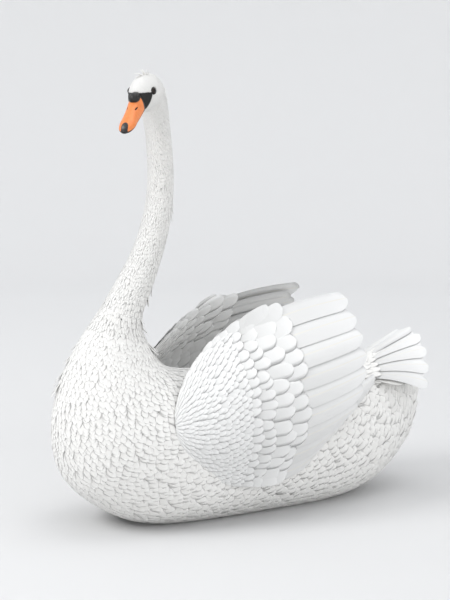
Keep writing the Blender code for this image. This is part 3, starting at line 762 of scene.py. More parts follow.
skinForm = {
    # depth below the coat's surface, by station
    "depth": ((0, 0.0009), (4, 0.0011), (7, 0.0016), (14, 0.0022), (17, 0.0032), (31, 0.004)),
    "bareDepth": 0.0003,          # the same where no feathers grow
    "wingDepth": 0.0034,          # the same on the wings, and how far along them skin runs
    "wingEnd": 0.50,
    # the lid's cross-section: distance from the eye's axis past the opening, and height
    # over the head, in millimetres
    "lid": ((-0.10, 1.25), (0.25, 1.45), (0.75, 1.40), (1.45, 0.95), (2.3, 0.45), (3.2, -0.1),
            (4.2, -0.9), (3.6, -2.4), (1.2, -3.0), (-0.3, -2.4), (-0.35, 0.2)),
    "opening": (4.95, 4.45),      # half its length and half its height
}


def closedGrid(grid):
    # A closed surface through a grid of rings, with a point at each end.
    rows, columns, _ = grid.shape
    ends = np.stack([grid[0].mean(0), grid[-1].mean(0)])
    vertices = np.vstack([grid.reshape(-1, 3), ends])
    quads = gridFaces(rows, columns, closed=True)
    i = np.arange(columns)
    j = (i + 1) % columns
    last = (rows - 1) * columns
    first = np.stack([np.full(columns, rows * columns), j, i], -1)
    final = np.stack([np.full(columns, rows * columns + 1), last + i, last + j], -1)
    return vertices, [quads, np.vstack([first, final])]


def closedShell(grid):
    # The same for rings whose second half runs back under the first: each end is closed
    # straight across, from one half to the other.
    rows, columns, _ = grid.shape
    j = np.arange(columns // 2 - 1)
    across = np.stack([j, j + 1, columns - 2 - j, columns - 1 - j], -1)
    quads = gridFaces(rows, columns, closed=True)
    return grid.reshape(-1, 3), [quads, across[:, ::-1], across + (rows - 1) * columns]


def outwardNormals(made):
    # Turns the faces of a closed shape outwards.
    bm = bmesh.new()
    bm.from_mesh(made.data)
    bmesh.ops.recalc_face_normals(bm, faces=bm.faces)
    bm.to_mesh(made.data)
    bm.free()


def joinInto(body, other):
    # One skin from two closed shapes.
    joined = body.modifiers.new("join", "BOOLEAN")
    joined.operation, joined.solver, joined.object = "UNION", "EXACT", other
    bpy.context.view_layer.update()
    graph = bpy.context.evaluated_depsgraph_get()
    whole = bpy.data.meshes.new_from_object(body.evaluated_get(graph))
    body.modifiers.clear()
    body.data = whole
    bpy.data.objects.remove(other)


def makeLid(side):
    # A raised rim that hugs the eye: its cross-section carried round an oval opening.
    centre, outward, ahead, upward = eyeFrames[side]
    turn = np.linspace(0, 2 * np.pi, 72, endpoint=False)[:, None]
    section = np.array(skinForm["lid"])
    long, high = skinForm["opening"]
    corner = 0.55 * np.abs(np.cos(turn)) ** 9         # drawn out at both corners of the eye
    reach = long * high / np.hypot(high * np.cos(turn), long * np.sin(turn)) + corner
    r = (reach + section[None, :, 0]) / 1000
    fall = r**2 / (2 * 0.030)                          # the head curves away beneath it
    h = section[None, :, 1] / 1000 - np.where(section[None, :, 1] > -1, fall, 0)
    surface = centre + outward * (eyeForm["radius"] - eyeForm["proud"])
    rings = (
        surface
        + ahead * (r * np.cos(turn))[..., None]
        + upward * (r * np.sin(turn))[..., None]
        + outward * h[..., None]
    )
    rows, columns, _ = rings.shape
    faces = gridFaces(rows + 1, columns, closed=True) % (rows * columns)
    made = newPiece("lid", rings, [faces], [skinFinish], "body_plumage")
    outwardNormals(made)
    return made


def makeSkin():
    # rings lie closest together on the head
    runs = np.linspace(0, 5, 84)[:-1], np.linspace(5, 8, 30)[:-1], np.linspace(8, rumpEnd, 110)
    stations = np.concatenate(runs)
    around = np.linspace(0, 2 * np.pi, 120, endpoint=False)
    u, v = np.meshgrid(stations, around, indexing="ij")
    e = 1e-3
    down = bodySurface(u + e, v) - bodySurface(u - e, v)
    over = bodySurface(u, v + e) - bodySurface(u, v - e)
    outer = bodySurface(u, v)
    depth = np.interp(u, *np.transpose(skinForm["depth"]))
    isBare = smoothStep(bareDistance(outer) / 2 + 0.5)
    depth = depth + (skinForm["bareDepth"] - depth) * isBare
    grid = outer - unit(np.cross(over, down)) * depth[..., None]
    grid[..., 2] = np.maximum(grid[..., 2], 0.002)
    body = newPiece("swanSkin", *closedGrid(grid), [skinFinish], "body_plumage")
    for side in (1, -1):
        along = np.linspace(0.01, skinForm["wingEnd"], 40)
        across = np.linspace(0.03, 0.97, 40)
        a, c = np.meshgrid(along, across, indexing="ij")
        middle, normal = wingMiddle(a, c), wingNormal(a, c)
        outer, inner = wingDepths(a, c)
        outer = np.maximum(outer - skinForm["wingDepth"], 0.0006)[..., None]
        inner = np.maximum(inner - skinForm["wingDepth"], 0.0006)[..., None]
        ring = np.concatenate([middle + normal * outer, (middle - normal * inner)[:, ::-1]], 1)
        wing = newPiece("wingSkin", *closedShell(ring * (side, 1, 1)), [skinFinish], "body_plumage")
        outwardNormals(wing)
        joinInto(body, wing)
        joinInto(body, makeLid(side))
    body.data.name = "swanSkin"
    body.data.polygons.foreach_set("use_smooth", np.ones(len(body.data.polygons), bool))
    places = np.empty(len(body.data.vertices) * 3, np.float32)
    body.data.vertices.foreach_get("co", places)
    setTone(body.data, "bare", bareDistance(places.reshape(-1, 3).astype(float)))
    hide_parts("head", "neck_upper", "neck_lower", "trunk", "wing_left", "wing_right")
    return body


swanSkin = makeSkin()
print("skin made", len(swanSkin.data.polygons))

# Plumage of head, neck and trunk

plumage = {
    "length": ((0, 0.0038), (2, 0.0045), (5, 0.0064), (7, 0.0086), (10, 0.0110), (13, 0.0145),
               (15, 0.019), (17, 0.024), (20, 0.031), (25, 0.039), (31, 0.044)),
    "slim": ((0, 0.44), (5, 0.42), (12, 0.46), (15, 0.56), (19, 0.70), (31, 0.68)),  # width over length
    "closeness": 0.28,            # row to row, over length
    "beside": 0.74,               # one to the next within a row, over width
    "depth": 0.030,               # how deep the root sits below the coat, over length
    "tipLift": 0.003,             # how far the tip stands above it, over length
}


def featherSizes(random, station):
    length = np.interp(station, *np.transpose(plumage["length"]))
    length = length * random.uniform(0.88, 1.14, len(station))
    width = length * np.interp(station, *np.transpose(plumage["slim"]))
    lift = length * plumage["tipLift"] * random.uniform(0.3, 1.7, len(station))
    return length, width, length * plumage["depth"], lift


def spacingAt(station):
    return plumage["closeness"] * np.interp(station, *np.transpose(plumage["length"]))


def besideAt(station):
    length = np.interp(station, *np.transpose(plumage["length"]))
    return plumage["beside"] * length * np.interp(station, *np.transpose(plumage["slim"]))


def coatStretch(name, seed, first, last, rows, columns, look, wanted=None):
    random = np.random.default_rng(seed)
    walked, around = rowedRoots(random, first, last, spacingAt, besideAt, 0.14)
    point, _, station = chartAt(chart, walked, around)[:3]
    keep = bareDistance(point) < 0.3
    if first < 6:
        # the feathers next to bare skin don't reach over it
        length = np.interp(station, *np.transpose(plumage["length"]))
        for share, most in ((0.4, 0.1), (0.9, 0.2)):
            ahead = chartAt(chart, walked + share * length, around)[0]
            keep &= bareDistance(ahead) < most
    if wanted is not None:
        keep &= wanted(point)
    walked, around, station = walked[keep], around[keep], station[keep]
    order = np.argsort(-walked)
    walked, around, station = walked[order], around[order], station[order]
    sizes = featherSizes(random, station)
    made = bodyVanes(name, random, (walked, around), sizes, rows, columns, look, [bodyWhite], "body_plumage")
    print(name, len(walked), "feathers", len(made.data.polygons), "faces")
    return made


# How each kind of feather looks: how round its tip is, how far it slants in radians, the
# curve of its rise, its arch and lean over its width, and how much lengths and tones vary
plainLook = {"rise": 1.0, "tilt": 0.006, "ragged": 0.01}
velvet = {**plainLook, "blunt": 0.5, "slant": 0.06, "arch": 0.018, "tone": 0.010}
downy = {**plainLook, "blunt": 0.3, "slant": 0.07, "arch": 0.016, "tone": 0.012}
scaly = {**plainLook, "blunt": 0.8, "slant": 0.05, "arch": 0.010, "tone": 0.012}


def awayFromFeet(point):
    # False where a foot or a shank lies between the belly and the ground.
    x, y, z = np.abs(point[:, 0]), point[:, 1], point[:, 2]
    ahead = 0.056 - y
    foot = (ahead > 0) & (ahead < 0.118) & (x > 0.039 - 0.25 * ahead) & (x < 0.055 + 0.29 * ahead)
    shank = (ahead <= 0) & (ahead > -0.135) & (x > 0.028) & (x < 0.058)
    return ~((foot | shank) & (z < 0.0012))


coatStretch("coatFace", 21, 0.02, 3.6, 5, 3, velvet)
coatStretch("coatNape", 26, 3.6, 6.3, 5, 3, velvet)
coatStretch("coatNeck", 22, 6.3, 10.2, 6, 3, downy)
coatStretch("coatNeckBase", 25, 10.2, 15.5, 6, 3, downy)
coatStretch("coatBreast", 23, 15.5, 20.0, 7, 5, scaly, awayFromFeet)
coatStretch("coatFlanks", 24, 20.0, 25.0, 7, 5, scaly, awayFromFeet)
coatStretch("coatRump", 27, 25.0, rumpEnd, 7, 5, scaly)


# Tufts that stand out from the outline

tuftForm = {
    # station, turn round the body in degrees, how many, length, width, lift over length,
    # and how far they are spread in stations and in degrees
    "tuftsNeck": (
        (16.3, 206, 5, 0.030, 0.012, 0.24, 0.25, 22), (17.0, 207, 7, 0.036, 0.014, 0.25, 0.30, 24),
        (13.6, 29, 4, 0.024, 0.010, 0.24, 0.25, 18), (14.7, 27, 5, 0.028, 0.012, 0.24, 0.25, 20),
        (15.6, 22, 5, 0.034, 0.014, 0.22, 0.25, 20), (10.9, 34, 3, 0.018, 0.008, 0.20, 0.25, 16),
    ),
    "tuftsCheeks": (
        (5.0, 74, 9, 0.011, 0.0030, 0.20, 0.60, 40), (6.0, 64, 9, 0.012, 0.0034, 0.20, 0.60, 40),
        (5.0, -74, 9, 0.011, 0.0030, 0.20, 0.60, 40), (6.0, -64, 9, 0.012, 0.0034, 0.20, 0.60, 40),
        (4.8, 126, 8, 0.010, 0.0028, 0.17, 0.50, 34), (4.8, -126, 8, 0.010, 0.0028, 0.17, 0.50, 34),
    ),
    "tuftsRump": (
        (28.7, 180, 20, 0.046, 0.019, 0.10, 0.40, 120), (27.6, 180, 22, 0.048, 0.021, 0.10, 0.40, 120),
        (26.5, 180, 20, 0.046, 0.022, 0.08, 0.40, 110),
    ),
}
looseLook = {
    "blunt": 0.1, "slant": 0.16, "rise": 2.0, "arch": 0.08, "tilt": 0.03, "ragged": 0.03,
    "tone": 0.010,
}


def looseTufts(name, seed):
    # Small groups of pointed feathers that curl away from the coat at their tips.
    random = np.random.default_rng(seed)
    placed = []
    for station, around, count, length, width, lift, alongBody, roundBody in tuftForm[name]:
        where = station + random.uniform(-1, 1, count) * alongBody
        turn = np.radians(around + np.linspace(-0.5, 0.5, count) * roundBody)
        scale = random.uniform(0.75, 1.15, count)
        placed.append(np.stack([where, turn, length * scale, width * scale, lift * length * scale], -1))
    where, turn, length, width, lift = np.concatenate(placed).T
    column = np.round(turn / (2 * np.pi) * chart["sides"]).astype(int) % chart["sides"]
    walked = np.sum(chart["values"][:, column, 6] < where, axis=0) * chart["step"]
    made = bodyVanes(
        name, random, (walked, turn % (2 * np.pi)), (length, width, 0.03 * length, lift), 9, 5,
        looseLook, [bodyWhite], "body_plumage",
    )
    print(name, len(walked), "feathers")
    return made


crestForm = {
    # where each leaf of the crown's tuft springs, in the skull's frame (forward, side);
    # its length and width; its lean from upright at root and tip, towards the bird's
    # right, in degrees; and how far it points forward
    "leaves": (
        (0.000, -0.0010, 0.0200, 0.0062, 30, 112, 0.30), (0.003, 0.0010, 0.0170, 0.0058, 16, 96, 0.45),
        (-0.003, 0.0020, 0.0185, 0.0060, 6, 70, 0.10), (-0.001, 0.0040, 0.0160, 0.0056, -8, 52, 0.25),
        (-0.006, 0.0050, 0.0140, 0.0054, -24, 24, -0.10), (-0.008, 0.0020, 0.0150, 0.0056, 10, 60, -0.30),
        (-0.009, 0.0065, 0.0110, 0.0048, -40, 2, -0.30), (0.005, -0.0030, 0.0130, 0.0050, 44, 118, 0.60),
    ),
    "height": 0.0335,
}


def makeCrest(random, rows=10, columns=5):
    # Curled leaves: each follows an arc that leans over from the crown, and is cupped
    # across its width.
    forward, side, length, width, first, last, ahead = np.array(crestForm["leaves"]).T[:, :, None]
    s = np.linspace(0, 1, rows)[None, :]
    lean = np.radians(first + (last - first) * s)
    step = length / (rows - 1)
    across = np.cumsum(np.sin(lean) * step, 1) - np.sin(lean) * step
    up = crestForm["height"] + np.cumsum(np.cos(lean) * step, 1) - np.cos(lean) * step
    toFront = forward + ahead * across + 0 * s
    path = fromSkull(toFront, side - across, up)
    along = unit(np.gradient(path, axis=1))
    facing = fromSkull(ahead * np.cos(lean), -np.cos(lean), -np.sin(lean)) - fromSkull(0.0, 0.0, 0.0)
    facing = unit(facing - along * np.sum(facing * along, -1, keepdims=True))
    breadth = np.cross(along, facing)
    t = np.linspace(-1, 1, columns)
    shape = vaneShape(rows, 0.45)[1][None, :] * width / 2
    top = path[:, :, None] + breadth[:, :, None] * (shape[..., None] * t)[..., None]
    cup = (0.25 * shape[..., None] * t**2)[..., None]
    top = top + facing[:, :, None] * cup
    count = len(top)
    patches = np.stack([np.full(count, 0.02), 0.04 + 0.01 * np.arange(count)], -1)
    made = vanePiece(
        "crownTuft", top, patches, 1 + random.normal(0, 0.01, count), [bodyWhite],
        "body_plumage", -facing[:, rows // 2],
    )
    return made


looseTufts("tuftsNeck", 41)
looseTufts("tuftsCheeks", 42)
looseTufts("tuftsRump", 43)
makeCrest(np.random.default_rng(44))
print("tufts made")


# Wings

def roundTip(s, start):
    # Full width, then a half circle to the tip.
    near = np.clip((s - start) / (1 - start), 0, 1)
    return np.sqrt(np.clip(1 - near**2, 0.004, 1))


flightForm = {
    "root": 0.34,                 # along the wing
    "rows": 22,
    "columns": 9,
    "thick": 0.0011,
    "step": 0.0022,               # how far each stands off the one below it
    "arch": 0.0026,
}
wingRows = {
    # for each run of rows: first tip, last tip and row count along the wing, feather
    # length there, feathers in a row at the wing's full height, overlap, and where the
    # round tip starts
    "outer": (
        (0.035, 0.345, 15, 0.072, 25, 1.45, 0.62),      # lesser coverts
        (0.390, 0.460, 2, 0.120, 18, 1.35, 0.72),       # median coverts
        (0.560, 0.640, 2, 0.240, 13, 1.30, 0.82),       # greater coverts
    ),
    "inner": (
        (0.060, 0.300, 8, 0.090, 20, 1.45, 0.62),
        (0.345, 0.480, 3, 0.130, 17, 1.40, 0.74),
        (0.560, 0.650, 2, 0.200, 13, 1.35, 0.80),
    ),
    "steep": 0.040,           # how deep a root lies, over the feather's length
    "deepest": 0.0021,
    "overFlights": 0.0060,
    "chord": 0.40,            # metres from the wing's front to its tips
}


def wingVanes(face, side, random, rows=10, columns=5):
    # Rows of coverts, every other row half a feather on: each is a strip of the wing's
    # own surface from its hidden root to its tip, which lies on the wing's face.
    s = 1 - (1 - np.linspace(0, 1, rows)) ** 1.7
    t = np.linspace(-1, 1, columns)
    sign = 1 if face == "outer" else -1
    # each face has a strip of its own on the unwrap
    column = {("outer", 1): 0.58, ("outer", -1): 0.69, ("inner", 1): 0.80, ("inner", -1): 0.90}
    column = column[face, side]
    tops, patches, tones, outs = [], [], [], []
    turn = 0
    for first, last, runs, length, count, overlap, tipStart in wingRows[face]:
        wide = roundTip(s, tipStart) * (0.5 + 0.5 * smoothStep(s / 0.6))
        for tip in np.linspace(first, last, runs):
            # the wing is lower towards its front, so it takes fewer feathers there
            nose = max(1 - tip / wingForm["rounding"], 0)
            fitted = max(int(round(count * (1 - 0.9 * nose**2.1) ** 0.48)), 5)
            centre = (np.arange(fitted + turn) + 0.5 * (1 - turn)) / fitted
            turn = 1 - turn
            centre = np.clip(centre + random.normal(0, 0.07 / fitted, len(centre)), 0.006, 0.996)
            n = len(centre)
            reach = length * random.uniform(0.94, 1.06, n)
            end = tip + random.normal(0, 0.05 * length, n) * (runs > 1) + random.normal(0, 0.003, n)
            along = end[:, None, None] - reach[:, None, None] * (1 - s[None, :, None])
            across = centre[:, None, None] + overlap / (2 * fitted) * wide[None, :, None] * t
            across = across + random.normal(0, 0.10 / fitted, (n, 1, 1)) * s[None, :, None]
            # tips swing a little down the wing, as its feathers fan
            swing = 0.10 * reach * (0.6 - centre) * smoothStep(centre / 0.3)
            across = across - swing[:, None, None] * s[None, :, None]
            along = np.broadcast_to(along, across.shape)
            a, c = np.clip(along, 0.002, 1), np.clip(across, -0.014, 1.050)
            middle, normal = wingMiddle(a, c), wingNormal(a, c)
            outer, inner = wingDepths(a, c)
            half = overlap / (2 * fitted) * 0.33
            deep = np.minimum(wingRows["steep"] * reach * wingRows["chord"], wingRows["deepest"])
            deep = deep[:, None, None] * (1 - s)[None, :, None]
            arch = 0.034 * half * (1 - t**2)[None, None, :] * wide[None, :, None]
            arch = arch - 0.022 * half * t[None, None, :] * s[None, :, None]
            # clear of the flight feathers behind the arm
            least = wingRows["overFlights"] * smoothStep((a - flightForm["root"]) / 0.1)
            out = np.maximum(outer if face == "outer" else inner, least) - deep + arch - 0.0004
            tops.append((middle + sign * normal * out[..., None]) * (side, 1, 1))
            outs.append((sign * normal[:, rows // 2, columns // 2]) * (side, 1, 1))
            patches.append(np.stack([column + 0.08 * centre, 0.05 + 0.85 * end], -1))
            tones.append(1 + random.normal(0, 0.012, n))
    name = ("coverts" if face == "outer" else "lining") + ("Left" if side > 0 else "Right")
    made = vanePiece(
        name, np.concatenate(tops), np.concatenate(patches), np.concatenate(tones),
        [wingWhite], "wing_plumage", np.concatenate(outs),
    )
    print(name, sum(len(x) for x in tops), "feathers")
    return made


def bladePiece(name, top, bottom, patches, tones, materials, slot, flipped=None):
    # Long vanes with two full faces, joined round their edges. top and bottom hold
    # (feathers, rows, columns, 3). The vane's map runs to 1 at the edge that lies under
    # its neighbour, which is the first column's where flipped.
    count, rows, columns, _ = top.shape
    per = rows * columns
    upper = gridFaces(rows, columns)
    lower = upper[:, ::-1] + per
    i = np.arange(rows - 1) * columns
    left = np.stack([i, i + columns, i + columns + per, i + per], -1)
    k = i + columns - 1
    right = np.stack([k + columns, k, k + per, k + columns + per], -1)
    j = np.arange(columns - 1)
    root = np.stack([j + 1, j, j + per, j + 1 + per], -1)
    m = j + (rows - 1) * columns
    tip = np.stack([m, m + 1, m + 1 + per, m + per], -1)
    template = np.vstack([upper, lower, left, right, root, tip])
    start = (np.arange(count) * 2 * per)[:, None, None]
    vertices = np.concatenate([top.reshape(count, -1, 3), bottom.reshape(count, -1, 3)], 1)
    faces = (start + template[None]).reshape(-1, 4)
    across = top[:, rows // 2, -1] - top[:, rows // 2, 0]
    down = top[:, -1, columns // 2] - top[:, 0, columns // 2]
    outward = (top - bottom)[:, rows // 2, columns // 2]
    if np.mean(np.sum(np.cross(across, down) * outward, -1)) > 0:
        faces = faces[:, ::-1]
    made = newPiece(name, vertices, [faces], materials, slot)
    s, t = np.meshgrid(np.linspace(0, 1, rows), np.linspace(0, 1, columns), indexing="ij")
    local = np.stack([t, s], -1).reshape(-1, 2)
    both = np.broadcast_to(np.vstack([local, local]), (count, 2 * per, 2)).copy()
    if flipped is not None:
        both[flipped, :, 0] = 1 - both[flipped, :, 0]
    setUv(made.data, "vane", both.reshape(-1, 2))
    bake = patches[:, None, :] + 0.003 * (both - 0.5)
    setUv(made.data, "OFBake", np.clip(bake, 0.0005, 0.9995).reshape(-1, 2))
    setTone(made.data, "tone", np.repeat(tones, 2 * per))
    made.data.set_sharp_from_angle(angle=math.radians(50))
    return made


def flightFeathers(side, random):
    # Secondaries: broad strips of the wing's middle surface with rounded tips, each lying
    # over the one below it, and shorter ones showing between their tips.
    rows, columns, tips = flightForm["rows"], flightForm["columns"], wingForm["tips"]
    s = 1 - (1 - np.linspace(0, 1, rows)) ** 1.6
    t = np.linspace(-1, 1, columns)
    tops, bottoms, patches, tones = [], [], [], []
    for layer in (0, 1):
        count = tips - layer
        centre = (np.arange(count) + 0.5 + 0.5 * layer) / tips
        reach = (0.998 if layer == 0 else 0.962) - flightForm["root"]
        half = 0.5 / tips * (1.22 if layer == 0 else 1.12)
        wide = roundTip(s, 0.885) * (0.72 + 0.28 * smoothStep(s / 0.5))
        across = centre[:, None, None] + half * wide[None, :, None] * t
        across = across + random.normal(0, 0.004, (count, 1, 1)) * s[None, :, None]
        along = flightForm["root"] + reach * s[None, :, None] + 0 * across
        along = along + random.normal(0, 0.005, (count, 1, 1)) * s[None, :, None]
        c = np.clip(across, 0.002, 0.998)
        middle, normal = wingMiddle(along, c), wingNormal(along, c)
        arch = flightForm["arch"] * (1 - np.abs(t) ** 1.6)[None, None, :] * wide[None, :, None]
        leaning = -flightForm["step"] * t[None, None, :]
        shaft = 0.0007 * np.clip(1 - np.abs(t) * 7, 0, 1)[None, None, :] * (1 - s)[None, :, None]
        place = (0.0011 if layer == 0 else -0.0024) + arch + leaning + shaft
        thick = flightForm["thick"] * (0.35 + 0.65 * (1 - t**2))[None, None, :] + 0 * s[None, :, None]
        tops.append((middle + normal * (place + thick / 2)[..., None]) * (side, 1, 1))
        bottoms.append((middle + normal * (place - thick / 2)[..., None]) * (side, 1, 1))
        column = 0.585 if side > 0 else 0.695
        patches.append(np.stack([column + 0.07 * centre, np.full(count, 0.965 + 0.012 * layer)], -1))
        # the second layer, lying under the first, is darker: painted shade
        tones.append(1 + random.normal(0, 0.010, count) - 0.03 * layer)
    word = "Left" if side > 0 else "Right"
    made = bladePiece(
        "secondaries" + word, np.concatenate(tops), np.concatenate(bottoms),
        np.concatenate(patches), np.concatenate(tones), [quillWhite], "wing_plumage",
    )
    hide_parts("flight_feathers_" + word.lower())
    return made


primaryForm = {
    # (x, y, z) of the blade's middle, half height
    "sections": (
        ((0.158, 0.130, 0.165), 0.026), ((0.150, 0.220, 0.190), 0.029),
        ((0.122, 0.305, 0.222), 0.027), ((0.085, 0.378, 0.252), 0.022),
        ((0.055, 0.430, 0.272), 0.015),
    ),
    "count": 6,
    "halfVane": 0.0085,
    "lean": 0.22,                 # inwards, over height
    "step": 0.0020,               # how far each stands off the one below it
    "tilt": 0.0020,
    "arch": 0.0022,
    "thick": 0.0008,
}


def primaries(side, random):
    # Long narrow vanes stacked in the folded wing's point, each a little shorter and
    # higher than the one below it.
    path = naturalSpline([(*middle, half) for middle, half in primaryForm["sections"]])
    last = len(primaryForm["sections"]) - 1
    rows, columns, count = 20, 7, primaryForm["count"]
    s, t = 1 - (1 - np.linspace(0, 1, rows)) ** 1.5, np.linspace(-1, 1, columns)
    order = np.arange(count)
    end = 1.0 - 0.075 * order
    share = end[:, None] * s[None, :]
    row = path(share * last)
    wide = roundTip(s, 0.90)
    height = (-0.55 + 1.1 * order / (count - 1))[:, None] * row[..., 3]
    half = primaryForm["halfVane"] * wide[None, :, None] * t[None, None, :]
    up = height[..., None] + half
    x = row[..., 0][..., None] - primaryForm["lean"] * up
    x = x + primaryForm["step"] * (order[:, None, None] - 2) - primaryForm["tilt"] * t
    y = row[..., 1][..., None] + 0 * up
    z = row[..., 2][..., None] + up
    arch = primaryForm["arch"] * (1 - np.abs(t) ** 1.6)[None, None, :]
    thick = primaryForm["thick"] * (0.35 + 0.65 * (1 - t**2))[None, None, :]
    top = np.stack([side * (x + arch + thick / 2), y, z], -1)
    bottom = np.stack([side * (x + arch - thick / 2), y, z], -1)
    column = 0.80 if side > 0 else 0.90
    patches = np.stack([column + 0.012 * order, np.full(count, 0.97)], -1)
    word = "Left" if side > 0 else "Right"
    made = bladePiece(
        "primaries" + word, top, bottom, patches, 1 + random.normal(0, 0.01, count),
        [quillWhite], "wing_plumage",
    )
    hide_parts("primaries_" + word.lower())
    return made


def tailNormal(reach, over):
    e = 1e-3
    down = tailSurface(reach + e, over) - tailSurface(reach - e, over)
    across = tailSurface(reach, over + e) - tailSurface(reach, over - e)
    return unit(np.cross(across, down))


def tailFeathers(random):
    # The fan: strips of the tail's surface with round tips, each lying over the next one
    # out from the middle, and shorter ones between their tips.
    rows, columns = 20, 9
    s, t = 1 - (1 - np.linspace(0, 1, rows)) ** 1.6, np.linspace(-1, 1, columns)
    wide = roundTip(s, 0.87) * (0.75 + 0.25 * s)
    tops, bottoms, patches, tones, flips = [], [], [], [], []
    for layer in (0, 1):
        count = tailForm["tips"] - layer
        centre = -1 + (2 * np.arange(count) + 1 + layer) / tailForm["tips"]
        end = 1 - 0.24 * np.abs(centre) ** 1.6 - 0.035 * layer + random.normal(0, 0.006, count)
        over = centre[:, None, None] + tailForm["overlap"] / tailForm["tips"] * wide[None, :, None] * t
        reach = end[:, None, None] * s[None, :, None] + 0 * over
        middle, normal = tailSurface(reach, over), tailNormal(reach, over)
        outwards = np.sign(centre + 1e-9)[:, None, None] * t
        place = tailForm["arch"] * (1 - np.abs(t) ** 1.6) + tailForm["tilt"] * outwards + tailForm["proud"]
        place = place - 0.0045 * np.abs(centre)[:, None, None]
        place = place * (0.4 + 0.6 * s[None, :, None]) - 0.0026 * layer + 0 * reach
        place = place + 0.0005 * np.clip(1 - np.abs(t) * 7, 0, 1) * (1 - s)[None, :, None]
        thick = tailForm["thick"] * (0.35 + 0.65 * (1 - t**2)) + 0 * reach
        tops.append(middle + normal * (place + thick / 2)[..., None])
        bottoms.append(middle + normal * (place - thick / 2)[..., None])
        patches.append(np.stack([0.30 + 0.10 * centre, np.full(count, 0.982 + 0.006 * layer)], -1))
        # the second layer, lying under the first, is darker: painted shade
        tones.append(1 + random.normal(0, 0.012, count) - 0.03 * layer)
        flips.append(centre > 0)
    made = bladePiece(
        "tailFeathers", np.concatenate(tops), np.concatenate(bottoms), np.concatenate(patches),
        np.concatenate(tones), [quillWhite], "wing_plumage", np.concatenate(flips),
    )
    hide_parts("tail")
    return made


tailRows = {
    # first tip, last tip and row count along the tail, feather length, feathers in a row
    "above": (0.12, 0.46, 5, 0.24, 11),
    "below": (0.10, 0.80, 9, 0.30, 11),
    "bulk": (0.010, 0.022),     # how far the coverts stand off the fan at its root, above and below
}


def tailCoverts(face, random, rows=7, columns=5):
    # Rows of coverts over the root of the fan, thinning to nothing where they end.
    first, last, runs, length, count = tailRows[face]
    sign = 1 if face == "above" else -1
    bulk = tailRows["bulk"][0 if face == "above" else 1]
    s, wide = vaneShape(rows, 0.7)
    t = np.linspace(-1, 1, columns)
    tops, patches, tones, outs = [], [], [], []
    for index, tip in enumerate(np.linspace(first, last, runs)):
        n = count + index % 2
        centre = -1 + 2 * (np.arange(n) + 0.5 * (1 - index % 2)) / count
        centre = centre * 0.97 + random.normal(0, 0.02, n)
        end = tip * (1 - 0.15 * np.abs(centre)) + random.normal(0, 0.008, n)
        reach = end[:, None, None] - length * (1 - s[None, :, None])
        over = centre[:, None, None] + 1.45 / count * wide[None, :, None] * t
        reach = reach + 0 * over
        middle, normal = tailSurface(reach, over), tailNormal(reach, over)
        thin = np.clip(1 - reach / (last + 0.05), 0, 1)
        out = 0.0028 + bulk * thin * (1 - 0.7 * over**2) - 0.0035 * (1 - s[None, :, None])
        out = out + 0.0008 * (1 - t**2) * wide[None, :, None]
        tops.append(middle + sign * normal * out[..., None])
        outs.append(sign * normal[:, rows // 2, columns // 2])
        patches.append(np.stack([(0.10 if sign > 0 else 0.42) + 0.04 * centre, 0.976 + 0.02 * end], -1))
        tones.append(1 + random.normal(0, 0.012, n))
    made = vanePiece(
        "tailCoverts" + face.title(), np.concatenate(tops), np.concatenate(patches),
        np.concatenate(tones), [bodyWhite], "wing_plumage", np.concatenate(outs),
    )
    return made


featherRandom = np.random.default_rng(31)
for side in (1, -1):
    wingVanes("outer", side, featherRandom)
    wingVanes("inner", side, featherRandom)
    flightFeathers(side, featherRandom)
    primaries(side, featherRandom)
tailFeathers(featherRandom)
tailCoverts("above", featherRandom)
tailCoverts("below", featherRandom)
print("wings and tail made")


# Bill, knob and eyes

billForm = {
    # forward from the skull's middle, then the heights of the culmen, the cutting edge
    # and the underside, and half the width
    "sections": (
        (0.0503, 0.0165, -0.0125, -0.0225, 0.0160),
        (0.0600, 0.0125, -0.0148, -0.0248, 0.0160),
        (0.0720, 0.0058, -0.0180, -0.0268, 0.0155),
        (0.0860, -0.0010, -0.0212, -0.0290, 0.0152),
        (0.1000, -0.0072, -0.0240, -0.0303, 0.0156),
        (0.1120, -0.0118, -0.0262, -0.0312, 0.0160),
        (0.1220, -0.0163, -0.0280, -0.0318, 0.0142),
        (0.1290, -0.0218, -0.0293, -0.0322, 0.0100),
        (0.1325, -0.0272, -0.0300, -0.0322, 0.0045),
    ),
    # section, turn from the culmen, half length, half height, depth
    "nostril": (2.55, math.radians(40), 0.0056, 0.0015, 0.0022),
    # forward to its middle, half length, half width, height
    "nail": (0.1262, 0.0076, 0.0070, 0.0006),
    # where the black at the root ends on the culmen, and how much further on the sides
    "blackBase": (0.0532, 0.0030),
    "cuttingEdge": 0.55,          # millimetres of black along it
}
billPath = naturalSpline(billForm["sections"])
billLast = len(billForm["sections"]) - 1.0


def gridNormals(points):
    # Normals of a grid of rings, from the differences between neighbours.
    down = np.gradient(points, axis=0)
    over = np.roll(points, -1, axis=1) - np.roll(points, 1, axis=1)
    return unit(np.cross(down, over))


def roundedEnd(rows, steps=5):
    # Section numbers to the last, then again for the rings that close it, and their scale.
    scale = np.cos(np.linspace(0, np.pi / 2, steps + 2)[1:-1])
    numbers = np.concatenate([rows, np.full(steps, rows[-1])])
    return numbers, np.concatenate([np.ones(len(rows)), scale])


def billShell(t, scale, ring):
    # Carries a ring, given as (side, height) functions of the section, along the bill and
    # draws it in to a round end.
    forward, culmen, edge, lowest, half = np.moveaxis(billPath(t), -1, 0)
    side, up = ring(*[row[:, None] for row in (culmen, edge, lowest, half)])
    middle = up.mean(1, keepdims=True)
    grow = np.sqrt(np.clip(1 - scale**2, 0, 1)) * 0.0016
    up = middle + (up - middle) * scale[:, None]
    return fromSkull((forward + grow)[:, None] + 0 * side, side * scale[:, None], up), forward, side, up


